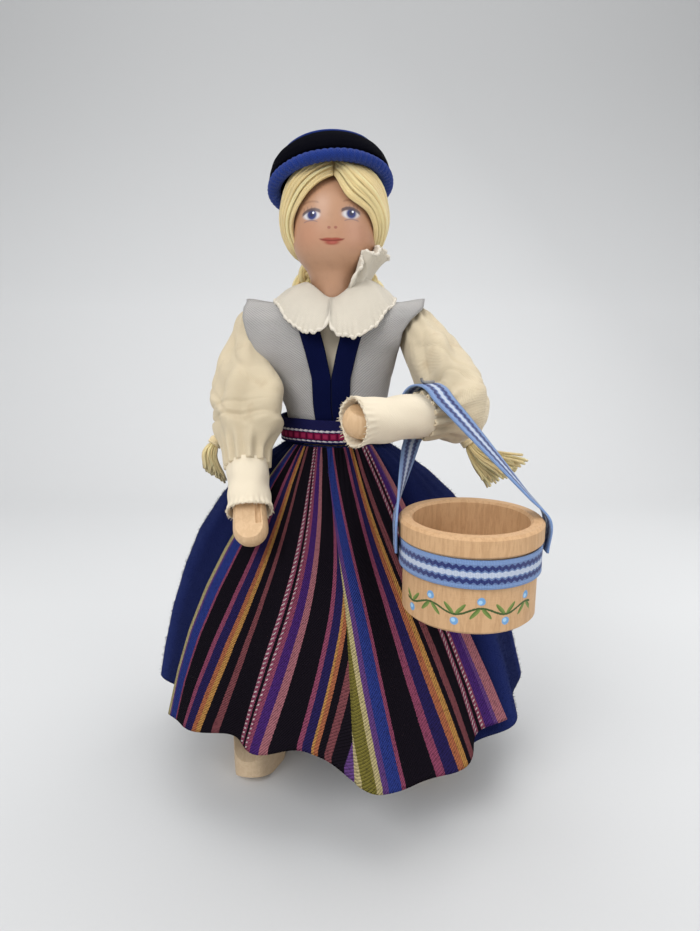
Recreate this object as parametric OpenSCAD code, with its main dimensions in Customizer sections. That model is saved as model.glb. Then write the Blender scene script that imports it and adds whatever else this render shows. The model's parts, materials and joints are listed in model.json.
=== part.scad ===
// Jointed peg wooden doll in folk dress, standing, with a turned bucket on its left arm.
// The doll faces -Y and stands on the plane z = 0.

/* [Wooden body] */
// Radius of the turned chest
chest_r = 12.6; // [11:0.1:12.8]
// Radius of the turned waist
waist_r = 9; // [8:0.1:9.6]
// Half depth of the torso between its flat front and back
torso_half_d = 7.2; // [6.4:0.1:7.4]
// Height from the hip peg to the middle of the belt
hip_to_waist = 13; // [12:0.5:16]
// Height from the middle of the belt to the shoulder peg
waist_to_shoulder = 27; // [25:0.5:30]
// Height from the shoulder peg to the top of the torso
shoulder_to_neck = 7; // [6:0.1:8]
// Height from the top of the torso to the middle of the head
neck_to_head = 20.5; // [19:0.1:23]
// Radius of the head
head_r = 11; // [10:0.1:11.6]
// Radius of the neck at its thinnest
neck_r = 6.4; // [5:0.1:7]
// Radius of the dowel that holds the head
neck_dowel_r = 3; // [2:0.1:4]
// Depth of the dowel in the torso
neck_dowel_len = 5; // [3:0.1:7]
// Radius of the shoulder and hip pegs
peg_r = 1.5; // [1:0.1:2]
// Radius of the elbow and knee pins
pin_r = 0.8; // [0.5:0.05:1.2]
// Half width of the hip tongue under the torso
hip_tongue_half_w = 5.5; // [4.5:0.1:6.5]

/* [Arms] */
// Distance of each arm from the middle of the body
shoulder_x = 21.2; // [20.6:0.1:23]
// Radius of an upper arm
arm_r = 4; // [3.4:0.1:4.1]
// Length from the shoulder peg to the elbow pin
upper_arm_len = 29.5; // [27:0.1:31]
// Length from the elbow pin to the tip of the hand
forearm_len = 31.7; // [29:0.1:33]
// Radius of a forearm
forearm_r = 4.1; // [3.6:0.1:4.2]
// Width of a hand
hand_w = 8.7; // [7.5:0.1:10]
// Thickness of a hand
hand_t = 5.6; // [4.5:0.1:6.5]
// Width of the slot in an elbow or knee fork
fork_slot_w = 3.2; // [2.6:0.1:3.6]
// Forward swing of the right arm at rest
right_swing = 21; // [18:1:24]
// Outward lean of the right arm
right_splay = 4.5; // [3:0.5:6]
// Bend of the right elbow at rest
right_bend = 22; // [18:1:26]
// Inward turn of the right elbow pin
right_turn = 30; // [20:1:40]
// Forward swing of the left arm at rest
left_swing = 43; // [40:1:46]
// Outward lean of the left arm
left_splay = 16.5; // [15:0.5:18]
// Bend of the left elbow at rest
left_bend = 83.5; // [80:0.5:86]
// Inward turn of the left elbow pin
left_turn = 66.5; // [64:0.5:69]

/* [Legs and clogs] */
// Distance of each hip from the middle of the body
hip_x = 10.4; // [10.2:0.1:12]
// Radius of a leg
leg_r = 4.4; // [3.8:0.1:4.5]
// Length from the hip peg to the knee pin
thigh_len = 40; // [36:0.5:44]
// Length from the knee pin to the end of the shin
shin_len = 41; // [38:0.5:44]
// Outward lean of the legs
leg_splay = 8; // [4:0.5:9]
// Length of a clog
clog_len = 33; // [30:0.5:36]
// Width of a clog
clog_w = 15; // [14:0.1:17]
// Height of a clog at the instep
clog_h = 12.5; // [11:0.1:14]
// Thickness of the clog's sole under the foot
clog_sole = 4; // [3:0.1:5]
// Turn-out of each clog
toe_out = 6; // [0:1:10]

/* [Hair and cap] */
// Outer radius of the hair
hair_r = 14.6; // [13.6:0.1:15]
// Height of the face opening's top above the middle of the head
hairline_h = 10.6; // [9.5:0.1:11]
// Half width of the face opening
face_half_w = 10.4; // [9:0.1:11]
// Radius of a plait
plait_r = 2.7; // [2:0.1:3]
// Number of crossings along a plait
plait_crossings = 7; // [4:1:9]
// Length of the loose tuft at the end of a plait
tuft_len = 15; // [10:0.5:17]
// Radius of the tuft's fanned end
tuft_end_r = 6; // [4:0.1:7]
// Outer radius of the cap's roll
hat_r = 16.8; // [16.4:0.1:18]
// Radius of the rolled edge's section
hat_roll_r = 1.6; // [1.2:0.05:1.8]
// Number of ribs around the rolled edge
hat_roll_ribs = 40; // [24:1:48]
// Height of the velvet band
hat_band_h = 4.6; // [4:0.1:6]
// Thickness of the band and the crown
hat_wall = 1.1; // [0.8:0.05:1.3]
// Backward tilt of the cap
hat_tilt = 20; // [14:1:24]
// Sideways shift of the cap on the head
hat_shift = -0.8; // [-1:0.1:1]

/* [Dress] */
// Cloth thickness of the vest
vest_t = 0.9; // [0.6:0.05:1.1]
// Half width of the vest at its shoulder corners
vest_shoulder_half_w = 24; // [23:0.1:26]
// Half depth of the vest at the chest
vest_half_d = 10.6; // [10:0.1:11.5]
// Width of a vest trim
trim_w = 3.8; // [3:0.1:4.5]
// Thickness of a vest trim
trim_t = 0.6; // [0.4:0.05:0.8]
// Width of the woven belt
belt_w = 6.6; // [5:0.1:8]
// Thickness of the belt
belt_t = 0.9; // [0.6:0.05:1.2]
// Height of the collar's inner edge above the torso
collar_h = 4.8; // [4:0.1:5]
// Outer radius of the collar
collar_r = 15; // [14:0.1:16]
// Cloth thickness of the collar and the blouse
blouse_t = 0.7; // [0.5:0.05:0.9]
// Largest radius of a puffed sleeve
sleeve_r = 8.8; // [7.5:0.1:9]
// Cloth thickness of a sleeve
sleeve_t = 0.7; // [0.5:0.05:0.8]
// Outer radius of a cuff
cuff_r = 5.4; // [5.1:0.05:6]
// Length of a cuff
cuff_len = 13; // [11:0.1:14]
// Distance of the cuff from the elbow
cuff_start = 9.5; // [9:0.1:11]
// Height of the skirt from waist to hem
skirt_len = 70; // [66:0.5:74]
// Half width of the skirt at its hem
skirt_half_w = 51; // [48:0.5:54]
// Half depth of the skirt at its hem
skirt_half_d = 44; // [40:0.5:46]
// Cloth thickness of the skirt
skirt_t = 1.4; // [1:0.1:1.8]
// Number of folds round the skirt
skirt_folds = 13; // [9:1:15]
// Depth of the skirt's folds at the hem
skirt_fold_d = 1.7; // [0.5:0.1:2.2]
// Cloth thickness of the apron
apron_t = 1; // [0.7:0.05:1.3]
// Height of the apron from waist to hem
apron_len = 70; // [66:0.5:74]
// Sag of the apron's hem below its corners
apron_sag = 8; // [0:0.5:9]
// Number of folds across the apron
apron_folds = 6; // [4:1:8]
// Depth of the apron's folds at the hem
apron_fold_d = 1.6; // [0.5:0.1:2.2]

/* [Bucket] */
// Outer radius of the bucket's wall
bucket_r = 15; // [13:0.1:15.5]
// Height of the bucket
bucket_h = 21.5; // [19:0.1:24]
// Thickness of the bucket's wall and floor
bucket_wall = 2; // [1.5:0.1:2.8]
// Height of the bucket's lip
bucket_lip_h = 4.6; // [3.5:0.1:5.5]
// Overhang of the bucket's lip
bucket_lip = 1.1; // [0.6:0.1:1.4]
// Distance of the bucket's middle to the doll's left
bucket_x = 31; // [30:0.1:32]
// Distance of the bucket's middle to the front
bucket_y = 41.5; // [41:0.1:43]
// Depth of the bucket's base below the elbow pin of the left arm
bucket_drop = 41.5; // [41:0.1:42.5]
// Width of the woven ribbon
ribbon_w = 6.2; // [5:0.1:6.4]
// Thickness of the woven ribbon
ribbon_t = 0.7; // [0.5:0.05:0.8]

/* [Hidden] */

$fn = 48;
// Sides of the figure: the doll's right is at -X, its left at +X
right = -1;
left = 1;

// Gaps between pieces
cut = 1;
run_clear = 0.05;
fork_clear = 0.1;
turn_clear = 0.3;
cloth_clear = 0.4;
seat_clear = 0.1;

// Heights that stack up from the floor
hip_z = clog_sole + (thigh_len + shin_len) * cos(leg_splay);
waist_z = hip_z + hip_to_waist;
shoulder_z = waist_z + waist_to_shoulder;
neck_z = shoulder_z + shoulder_to_neck;
head_z = neck_z + neck_to_head;
knee_z = hip_z - thigh_len * cos(leg_splay);
foot_x = hip_x + (thigh_len + shin_len) * sin(leg_splay);
skirt_top_z = waist_z - belt_w / 2 - turn_clear;

// Values that differ between the two arms
function swing(side) = side == right ? right_swing : left_swing;
function splay(side) = side == right ? right_splay : left_splay;
function bend(side) = side == right ? right_bend : left_bend;
function turn(side) = side == right ? right_turn : left_turn;

// The forearm's way in the upper arm's frame
function fore_way(side) = [
  -side * sin(turn(side)) * sin(bend(side)),
  -cos(turn(side)) * sin(bend(side)),
  -cos(bend(side))
];
function pin_way(side) = [cos(turn(side)), -side * sin(turn(side)), 0];
function rot_x(v, a) = [v[0], v[1] * cos(a) - v[2] * sin(a), v[1] * sin(a) + v[2] * cos(a)];
function rot_y(v, a) = [v[0] * cos(a) + v[2] * sin(a), v[1], -v[0] * sin(a) + v[2] * cos(a)];
function to_doll(v) = rot_x(rot_y(v, -left_splay), -left_swing);
left_shoulder = [shoulder_x, 0, shoulder_z];
left_elbow = left_shoulder + to_doll([0, 0, -upper_arm_len]);
left_fore = to_doll(fore_way(left));
bucket_base = [bucket_x, -bucket_y, left_elbow[2] - bucket_drop];

// Small helpers for shares and curves
function ease(t) = t * t * (3 - 2 * t);
function clamp(t) = min(1, max(0, t));
function mix(a, b, t) = a + (b - a) * t;
function step_at(values, t) =
  let (n = len(values) - 1, k = min(n - 1, floor(t * n)))
  mix(values[k], values[k + 1], t * n - k);
function unit(v) = v / norm(v);
function flat(rows) = [for (row = rows) each row];

// Triangles of a closed shell between two grids of points, outer first, rows from top to bottom
function shell_faces(rows, cols, wrap) =
  let (
    n = rows * cols,
    last = wrap ? cols - 1 : cols - 2,
    p = function (i, j) i * cols + j % cols
  ) [
    for (i = [0 : rows - 2], j = [0 : last]) each [
      [p(i, j), p(i, j + 1), p(i + 1, j + 1)],
      [p(i, j), p(i + 1, j + 1), p(i + 1, j)],
      [n + p(i, j), n + p(i + 1, j + 1), n + p(i, j + 1)],
      [n + p(i, j), n + p(i + 1, j), n + p(i + 1, j + 1)]
    ],
    for (j = [0 : last]) each [
      [p(0, j), n + p(0, j), n + p(0, j + 1)],
      [p(0, j), n + p(0, j + 1), p(0, j + 1)],
      [p(rows - 1, j), p(rows - 1, j + 1), n + p(rows - 1, j + 1)],
      [p(rows - 1, j), n + p(rows - 1, j + 1), n + p(rows - 1, j)]
    ],
    for (i = [0 : wrap ? -1 : rows - 2]) each [
      [n + p(i, 0), p(i, 0), p(i + 1, 0)],
      [n + p(i, 0), p(i + 1, 0), n + p(i + 1, 0)],
      [p(i, cols - 1), n + p(i, cols - 1), n + p(i + 1, cols - 1)],
      [p(i, cols - 1), n + p(i + 1, cols - 1), p(i + 1, cols - 1)]
    ]
  ];
module shell(outer, inner, wrap) {
  polyhedron(concat(flat(outer), flat(inner)), shell_faces(len(outer), len(outer[0]), wrap));
}

// Triangles of a closed tube through rings of points, rows from top to bottom
function tube_faces(rows, cols) =
  let (p = function (i, j) i * cols + j % cols) [
    for (i = [0 : rows - 2], j = [0 : cols - 1]) each [
      [p(i, j), p(i, j + 1), p(i + 1, j + 1)],
      [p(i, j), p(i + 1, j + 1), p(i + 1, j)]
    ],
    for (j = [1 : cols - 2]) each [
      [p(0, 0), p(0, j + 1), p(0, j)],
      [p(rows - 1, 0), p(rows - 1, j), p(rows - 1, j + 1)]
    ]
  ];
module tube(rings) {
  polyhedron(flat(rings), tube_faces(len(rings), len(rings[0])));
}

// Frames in which the pieces are drawn
module doll() {
  translate([doll_x, doll_y, 0]) children();
}
module arm_frame(side) {
  doll() translate([side * shoulder_x, 0, shoulder_z])
    rotate([-swing(side), 0, 0]) rotate([0, -side * splay(side), 0]) children();
}
module forearm_frame(side) {
  arm_frame(side) translate([0, 0, -upper_arm_len])
    rotate([0, 0, -side * turn(side)]) rotate([-bend(side), 0, 0]) children();
}
module leg_frame(side) {
  doll() translate([side * hip_x, 0, hip_z]) rotate([0, -side * leg_splay, 0]) children();
}
module shin_frame(side) {
  leg_frame(side) translate([0, 0, -thigh_len]) children();
}
module along_x(r, half_len) {
  rotate([0, 90, 0]) cylinder(r = r, h = 2 * half_len, center = true);
}

// The wooden body
torso_top_r = neck_r + blouse_t;
torso_low_z = waist_z - belt_w;
shoulder_round = 3;
function torso_profile(grow) = [
  [0, torso_low_z],
  [waist_r + grow, torso_low_z],
  [waist_r + grow, waist_z],
  for (t = [0.1 : 0.1 : 1])
    [mix(waist_r, chest_r, ease(t)) + grow, mix(waist_z, shoulder_z - peg_r * 2, t)],
  for (a = [0 : 15 : 75])
    [chest_r - shoulder_round * (1 - cos(a)) + grow, shoulder_z + shoulder_round * sin(a)],
  [torso_top_r + grow, neck_z],
  [0, neck_z]
];
module torso() {
  color("burlywood") doll() difference() {
    union() {
      intersection() {
        rotate_extrude() polygon(torso_profile(0));
        translate([0, 0, (torso_low_z + neck_z) / 2])
          cube([2 * chest_r + cut, 2 * torso_half_d, neck_z - torso_low_z + cut], center = true);
      }
      translate([-hip_tongue_half_w, -leg_r, hip_z])
        cube([2 * hip_tongue_half_w, 2 * leg_r, torso_low_z - hip_z + cut]);
      translate([0, 0, hip_z]) along_x(leg_r, hip_tongue_half_w);
    }
    translate([0, 0, shoulder_z]) along_x(peg_r + seat_clear, chest_r + cut);
    translate([0, 0, hip_z]) along_x(peg_r + seat_clear, hip_tongue_half_w + cut);
    translate([0, 0, neck_z - neck_dowel_len]) cylinder(r = neck_dowel_r + run_clear, h = neck_dowel_len + cut);
  }
}

// Head turned in one piece with its neck and dowel
chin_len_share = 1.36;
jaw_power = 0.6;
function jaw_r(t) = mix(neck_r, head_r, pow(0.5 + 0.5 * cos(180 * t), jaw_power));
function head_profile(grow) = [
  [0, neck_z],
  [neck_r + grow, neck_z],
  for (t = [1 : -0.1 : 0.1]) [jaw_r(t) + grow, head_z - head_r * chin_len_share * t],
  for (a = [0 : 10 : 80]) [(head_r + grow) * cos(a), head_z + (head_r + grow) * sin(a)],
  [0, head_z + head_r + grow]
];
module head() {
  color("peachpuff") doll() {
    rotate_extrude() polygon(head_profile(0));
    translate([0, 0, neck_z - neck_dowel_len]) cylinder(r = neck_dowel_r, h = neck_dowel_len + cut);
  }
}

module shoulder_peg() {
  color("tan") doll() translate([0, 0, shoulder_z]) along_x(peg_r, shoulder_x + arm_r / 2);
}
module hip_peg() {
  color("tan") doll() translate([0, 0, hip_z]) along_x(peg_r, hip_x + leg_r / 2);
}

// A turned limb whose lower end is a rounded fork with a cross bore, drawn from its upper pivot down -Z
fork_end_share = 0.96;
module fork_limb(r, length, pin_turn) {
  end_r = r * fork_end_share;
  difference() {
    rotate_extrude() polygon([
      [0, -length - end_r],
      [r, -length - end_r],
      for (a = [0 : 15 : 75]) [r * cos(a), r * sin(a)],
      [0, r]
    ]);
    translate([0, 0, -length]) rotate([0, 0, pin_turn]) {
      difference() {
        translate([-r - cut, -r - cut, -end_r - cut]) cube([2 * (r + cut), 2 * (r + cut), end_r + cut]);
        along_x(end_r, r + 2 * cut);
      }
      translate([-fork_slot_w / 2, -r - cut, -r - cut]) cube([fork_slot_w, 2 * (r + cut), 2 * r + cut + turn_clear]);
      along_x(pin_r + seat_clear, r + cut);
    }
  }
}
// The tongue that turns in such a fork, with the limb's shoulder below it
module tongue(r) {
  tongue_t = fork_slot_w - 2 * fork_clear;
  difference() {
    union() {
      along_x(r - turn_clear, tongue_t / 2);
      translate([-tongue_t / 2, -r + turn_clear, -r - turn_clear - cut])
        cube([tongue_t, 2 * (r - turn_clear), r + turn_clear + cut]);
    }
    along_x(pin_r + run_clear, tongue_t);
  }
}

module upper_arm(side) {
  color("burlywood") arm_frame(side) difference() {
    fork_limb(arm_r, upper_arm_len, -side * turn(side));
    rotate([0, side * splay(side), 0]) along_x(peg_r + run_clear, 2 * arm_r);
  }
}
module elbow_pin(side) {
  color("tan") forearm_frame(side) along_x(pin_r, arm_r * elbow_pin_share);
}
elbow_pin_share = 0.8;

// Forearm: tongue, round wrist and a flat rounded mitten hand with a thumb groove
hand_len_share = 0.34;
thumb_groove_r = 0.7;
thumb_groove_share = 0.9;
thumb_share = 0.26;
module forearm(side) {
  hand_len = forearm_len * hand_len_share;
  palm_r = hand_w / 2;
  color("burlywood") forearm_frame(side) {
    tongue(arm_r);
    difference() {
      rotate_extrude() polygon([
        [0, -forearm_len],
        for (a = [-75 : 15 : 0]) [palm_r * cos(a), -forearm_len + palm_r * (1 + sin(a))],
        [forearm_r, -forearm_len + hand_len],
        [forearm_r, -arm_r - turn_clear],
        [0, -arm_r - turn_clear]
      ]);
      rotate([0, 0, side * turn(side)]) {
        for (face = [-1, 1])
          translate([-hand_w, face * hand_w - hand_w / 2 + face * (hand_t - hand_w) / 2, -forearm_len - cut])
            cube([2 * hand_w, hand_w, hand_len + 2 * cut]);
        translate([-side * hand_w * thumb_share, -hand_t / 2, -forearm_len + palm_r + turn_clear])
          cylinder(r = thumb_groove_r, h = (hand_len - palm_r) * thumb_groove_share);
      }
    }
  }
}

// Legs
module thigh(side) {
  color("burlywood") leg_frame(side) difference() {
    fork_limb(leg_r, thigh_len, 0);
    rotate([0, side * leg_splay, 0]) along_x(peg_r + run_clear, 2 * leg_r);
  }
}
module knee_pin(side) {
  color("tan") shin_frame(side) along_x(pin_r, leg_r * elbow_pin_share);
}
module shin(side) {
  color("burlywood") difference() {
    shin_frame(side) {
      tongue(leg_r);
      translate([0, 0, -shin_len - leg_r]) cylinder(r = leg_r, h = shin_len - turn_clear);
    }
    doll() translate([side * foot_x - 2 * leg_r, -2 * leg_r, -leg_r - cut])
      cube([4 * leg_r, 4 * leg_r, clog_sole + leg_r + cut]);
  }
}

// Carved clog: a top outline, a side outline and a ridged front outline cut from one block
heel_share = 0.27;
toe_pad_share = 0.42;
toe_tip_share = 0.3;
clog_sides_shares = [0.86, 1, 0.82];
module clog_top_outline() {
  heel = clog_len * heel_share;
  hull() {
    translate([0, heel - clog_w / 2]) circle(d = clog_w * clog_sides_shares[0], $fn = 32);
    translate([0, heel - clog_len * (1 - toe_pad_share)]) circle(d = clog_w * clog_sides_shares[1], $fn = 32);
    translate([0, heel - clog_len + clog_w * toe_tip_share]) circle(d = 2 * clog_w * toe_tip_share, $fn = 32);
  }
}
toe_rise_share = 0.12;
toe_h_share = 0.62;
heel_h_share = 0.86;
instep_shares = [0.1, 0.42, 0.5];
sole_shares = [0.14, 0.2];
function clog_side_outline() =
  let (heel = clog_len * heel_share, toe = heel - clog_len) [
    [heel, 0],
    [heel, clog_h * heel_h_share],
    [heel - clog_len * instep_shares[0], clog_h],
    [heel - clog_len * instep_shares[1], clog_h],
    for (t = [0 : 0.2 : 1])
      [mix(heel - clog_len * instep_shares[2], toe, t), clog_h * (1 - (1 - toe_h_share) * t * t)],
    [toe, clog_h * toe_rise_share * 2],
    [mix(toe, heel, sole_shares[0]), clog_h * toe_rise_share / 2],
    [mix(toe, heel, sole_shares[1]), 0]
  ];
ridge_shares = [0.3, 1.18];
function clog_front_outline() = [
  [-clog_w, 0],
  [clog_w, 0],
  [clog_w, clog_h * ridge_shares[0]],
  [0, clog_h * ridge_shares[1]],
  [-clog_w, clog_h * ridge_shares[0]]
];
mouth_clear = 0.5;
module clog(side) {
  color("wheat") doll() translate([side * foot_x, 0, 0]) difference() {
    rotate([0, 0, side * toe_out]) intersection() {
      linear_extrude(2 * clog_h) clog_top_outline();
      rotate([90, 0, 90]) linear_extrude(2 * clog_w, center = true) polygon(clog_side_outline());
      rotate([90, 0, 0]) linear_extrude(2 * clog_len, center = true) polygon(clog_front_outline());
    }
    intersection() {
      translate([0, 0, clog_sole]) rotate([0, -side * leg_splay, 0])
        cylinder(r = leg_r + mouth_clear, h = 4 * clog_h, center = true);
      translate([-clog_w, -clog_w, clog_sole]) cube([2 * clog_w, 2 * clog_w, 2 * clog_h]);
    }
  }
}

// Floss hair: a thick cap on the head, open at the face with a point at the centre parting
hair_low_share = 0.98;
hair_nape_share = 0.8;
function hair_profile() = [
  [0, head_z - hair_r * hair_low_share],
  [hair_r * hair_nape_share, head_z - hair_r * hair_low_share],
  for (a = [-50 : 10 : 80]) [hair_r * cos(a), head_z + hair_r * sin(a)],
  [0, head_z + hair_r]
];
cheek_shares = [0.86, 1, 0.93, 0.62];
brow_shares = [0.25, 0.68];
function face_outline() = [
  [0, hairline_h],
  [-face_half_w * cheek_shares[3], hairline_h * brow_shares[1]],
  [-face_half_w * cheek_shares[2], hairline_h * brow_shares[0]],
  [-face_half_w * cheek_shares[1], 0],
  [-face_half_w * cheek_shares[0], -2 * hair_r],
  [face_half_w * cheek_shares[0], -2 * hair_r],
  [face_half_w * cheek_shares[1], 0],
  [face_half_w * cheek_shares[2], hairline_h * brow_shares[0]],
  [face_half_w * cheek_shares[3], hairline_h * brow_shares[1]]
];
module hair() {
  color("khaki") doll() difference() {
    rotate_extrude() polygon(hair_profile());
    rotate_extrude() polygon(head_profile(run_clear));
    translate([0, 0, head_z]) rotate([90, 0, 0]) linear_extrude(2 * hair_r) polygon(face_outline());
  }
}

// Plaits: out from the nape, behind the shoulders and out over the skirt
plait_drop = head_z - waist_z;
nape_way = [0.42, 0.64, -0.64];
nape_len_share = 0.3;
plait_x_shares = [0.26, 0.4, 0.53, 0.63, 0.7];
plait_y_shares = [0.285, 0.29, 0.265, 0.22, 0.17];
plait_z_shares = [0.38, 0.6, 0.82, 1, 1.1];
function plait_points(side) = [
  for (d = [hair_r + seat_clear, hair_r * (1 + nape_len_share)])
    [side * d * nape_way[0], d * nape_way[1], head_z + d * nape_way[2]],
  for (k = [0 : len(plait_x_shares) - 1])
    [side * plait_drop * plait_x_shares[k] * plait_spread(side), plait_drop * plait_y_shares[k], head_z - plait_drop * plait_z_shares[k]]
];
right_plait_share = 0.92;
function plait_spread(side) = side == right ? right_plait_share : 1;
function plait_at(side, t) = step_at(plait_points(side), t);
plait_sides = 8;
plait_rings = 3 * plait_crossings;
lobe_share = 0.16;
plait_look_share = 0.06;
// A ring of points square to the direction d
function ring(centre, d, r, sides) =
  let (t = unit(d), s = unit(cross([0, 1, 0], t)), n = cross(s, t))
  [for (j = [0 : sides - 1]) centre + r * (cos(360 * j / sides) * s - sin(360 * j / sides) * n)];
function plait_dir(side, t) = plait_at(side, min(1, t + plait_look_share)) - plait_at(side, max(0, t - plait_look_share));
module plait(side) {
  color("khaki") doll() tube([
    for (i = [0 : plait_rings])
      let (t = i / plait_rings, lobe = 1 - lobe_share * (1 + cos(360 * plait_crossings * t)) / 2)
      ring(plait_at(side, t), plait_dir(side, t), plait_r * lobe, plait_sides)
  ]);
}
// The tie is a short band round the plait's end, and the tuft fans out from it
tie_len = 2;
tie_t = 0.5;
right_tuft_way = [-0.45, 0.1, -0.9];
left_tuft_way = [0.86, -0.1, -0.5];
function tuft_dir(side) = unit(side == right ? right_tuft_way : left_tuft_way);
function tie_start(side) = plait_at(side, 1) + seat_clear * plait_way(side);
function plait_way(side) = unit(plait_dir(side, 1));
module plait_tie(side) {
  color("khaki") doll() tube([
    for (d = [0, tie_len]) ring(tie_start(side) + d * plait_way(side), plait_way(side), plait_r - tie_t, plait_sides)
  ]);
}
tuft_grow_shares = [0.34, 0.6, 0.86, 1];
module plait_tuft(side) {
  start = tie_start(side) + (tie_len + seat_clear) * plait_way(side);
  color("khaki") doll() tube([
    for (t = [0, 1 / 3, 2 / 3, 1])
      let (way = mix(plait_way(side), tuft_dir(side), ease(t)))
      ring(start + tuft_len * t * way, plait_way(side) * (1 - t) + tuft_dir(side) * t,
           tuft_end_r * step_at(tuft_grow_shares, t), 2 * plait_sides)
  ]);
}

// Cap: a ribbed roll, a velvet band and a shallow crown that rests on the hair
hat_crown_z = hair_r + cloth_clear;
crown_dome = 1.6;
module hat_frame() {
  doll() translate([hat_shift, 0, head_z]) rotate([-hat_tilt, 0, 0]) children();
}
band_r = hat_r - hat_roll_r / 2;
module hat_crown() {
  color("royalblue") hat_frame() rotate_extrude() polygon([
    [0, hat_crown_z],
    [band_r, hat_crown_z],
    for (a = [0 : 15 : 90]) [band_r - hat_wall + hat_wall * cos(a), hat_crown_z + hat_wall * sin(a)],
    for (t = [0.75, 0.5, 0.25]) [band_r * t, hat_crown_z + hat_wall + crown_dome * (1 - t * t)],
    [0, hat_crown_z + hat_wall + crown_dome]
  ]);
}
module hat_band() {
  color("black") hat_frame() translate([0, 0, hat_crown_z - hat_band_h])
    difference() {
      cylinder(r = band_r, h = hat_band_h);
      translate([0, 0, -cut]) cylinder(r = band_r - hat_wall, h = hat_band_h + 2 * cut);
    }
}
roll_rib_d = 0.25;
roll_sides = 8;
module hat_roll() {
  ring_r = hat_r - hat_roll_r;
  steps = 2 * hat_roll_ribs;
  color("mediumblue") hat_frame() translate([0, 0, hat_crown_z - hat_band_h - hat_roll_r - seat_clear])
    polyhedron(
      [for (i = [0 : steps - 1], j = [0 : roll_sides - 1])
        let (a = 360 * i / steps, b = 360 * j / roll_sides, r = hat_roll_r - (i % 2) * roll_rib_d)
        [(ring_r + r * cos(b)) * cos(a), (ring_r + r * cos(b)) * sin(a), r * sin(b)]],
      [for (i = [0 : steps - 1], j = [0 : roll_sides - 1])
        let (p = function (u, v) (u % steps) * roll_sides + v % roll_sides)
        each [[p(i, j), p(i, j + 1), p(i + 1, j + 1)], [p(i, j), p(i + 1, j + 1), p(i + 1, j)]]]
    );
}

// Collar: a ruffled round of cotton that lies on the chest and stands up beside the chin
collar_cols = 60;
collar_rows = 5;
collar_drop_share = 0.85;
collar_side_share = 0.32;
collar_scallops = 11;
collar_wave = 0.7;
scallop_share = 0.06;
stand_share = 0.05;
stand_at = -55;
stand_width = 23;
stand_rise = 6.5;
function collar_point(a, t, lift) =
  let (
    away = abs(((a - stand_at + 540) % 360) - 180) / stand_width,
    stand = exp(-pow(away, 4)),
    edge = collar_r * (1 + scallop_share * abs(sin(collar_scallops * a / 2)) + stand_share * stand),
    r = mix(neck_r + blouse_t + 2 * cloth_clear, edge, t),
    lean = mix(1, collar_side_share, abs(cos(a))),
    drop = collar_r * collar_drop_share * lean * t,
    wave = collar_wave * t * sin(collar_scallops * a)
  )
  [r * cos(a), r * sin(a), neck_z + collar_h - drop * (1 - stand) + stand_rise * stand * t + wave + lift];
function collar_grid(lift) = [
  for (i = [0 : collar_rows - 1]) [
    for (j = [0 : collar_cols - 1]) collar_point(360 * j / collar_cols, i / (collar_rows - 1), lift)
  ]
];
module collar() {
  color("ivory") doll() shell(collar_grid(blouse_t), collar_grid(0), true);
}

// Blouse front: the cream panel that shows in the vest's opening
module blouse_front() {
  color("ivory") doll() translate([0, -torso_half_d - seat_clear, 0]) rotate([90, 0, 0])
    linear_extrude(blouse_t) polygon([
      [-trim_w, waist_z],
      [trim_w, waist_z],
      [chest_r * blouse_shares[0], shoulder_z + peg_r],
      [chest_r * blouse_shares[1], neck_z - peg_r],
      [-chest_r * blouse_shares[1], neck_z - peg_r],
      [-chest_r * blouse_shares[0], shoulder_z + peg_r]
    ]);
}
blouse_shares = [0.62, 0.5];

// Vest panels: rows run from the shoulder seam down to the belt, columns from the opening to the side
vest_low_z = waist_z - belt_w / 2 + turn_clear;
vest_top_z = neck_z;
vest_row_shares = [1, 0.95, 0.88, 0.78, 0.64, 0.46, 0.24, 0];
vest_depth_shares = [0.1, 0.68, 0.9, 0.97, 1, 0.97, 0.93, 0.9];
right_side_shares = [1, 0.98, 0.93, 0.82, 0.66, 0.64, 0.58, 0.5];
left_side_shares = [1, 0.96, 0.84, 0.71, 0.66, 0.64, 0.58, 0.5];
back_side_shares = [1, 0.94, 0.78, 0.69, 0.66, 0.64, 0.58, 0.5];
opening_shares = [0.4, 0.42, 0.38, 0.3, 0.18, 0.05, 0.02, 0.02];
vest_reach_shares = [1.5, 1.5, 1.5, 1.4, 0.72, 0.645, 0.585, 0.505];
vest_bulge = 2.4;
function vest_z(i) = mix(vest_low_z, vest_top_z, vest_row_shares[i]);
// One point of a panel: facing -1 at the front and +1 at the back, grown outwards by a distance
function vest_point(i, x, facing, grow) =
  let (
    reach = vest_shoulder_half_w * vest_reach_shares[i] + grow,
    depth = vest_half_d * vest_depth_shares[i] + grow,
    cap = i == 0 ? grow : 0
  )
  [x, facing * depth * pow(max(0, 1 - pow(abs(x) / reach, vest_bulge)), 1 / vest_bulge), vest_z(i) + cap];
function vest_grid(from_shares, to_shares, from_add, to_add, side, facing, grow, cols) = [
  for (i = [0 : len(vest_row_shares) - 1]) [
    for (j = [0 : cols])
      let (
        k = side * facing < 0 ? j : cols - j,
        x = mix(vest_shoulder_half_w * from_shares[i] + from_add, vest_shoulder_half_w * to_shares[i] + to_add, k / cols)
      )
      vest_point(i, side * x, facing, grow)
  ]
];
vest_cols = 8;
seam_gap = 0.15;
module vest_front(side, side_shares) {
  color("silver") doll() shell(
    vest_grid(opening_shares, side_shares, 0, -seam_gap, side, -1, 0, vest_cols),
    vest_grid(opening_shares, side_shares, 0, -seam_gap, side, -1, -vest_t, vest_cols),
    false
  );
}
module right_vest_front() {
  vest_front(right, right_side_shares);
}
module left_vest_front() {
  vest_front(left, left_side_shares);
}
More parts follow.
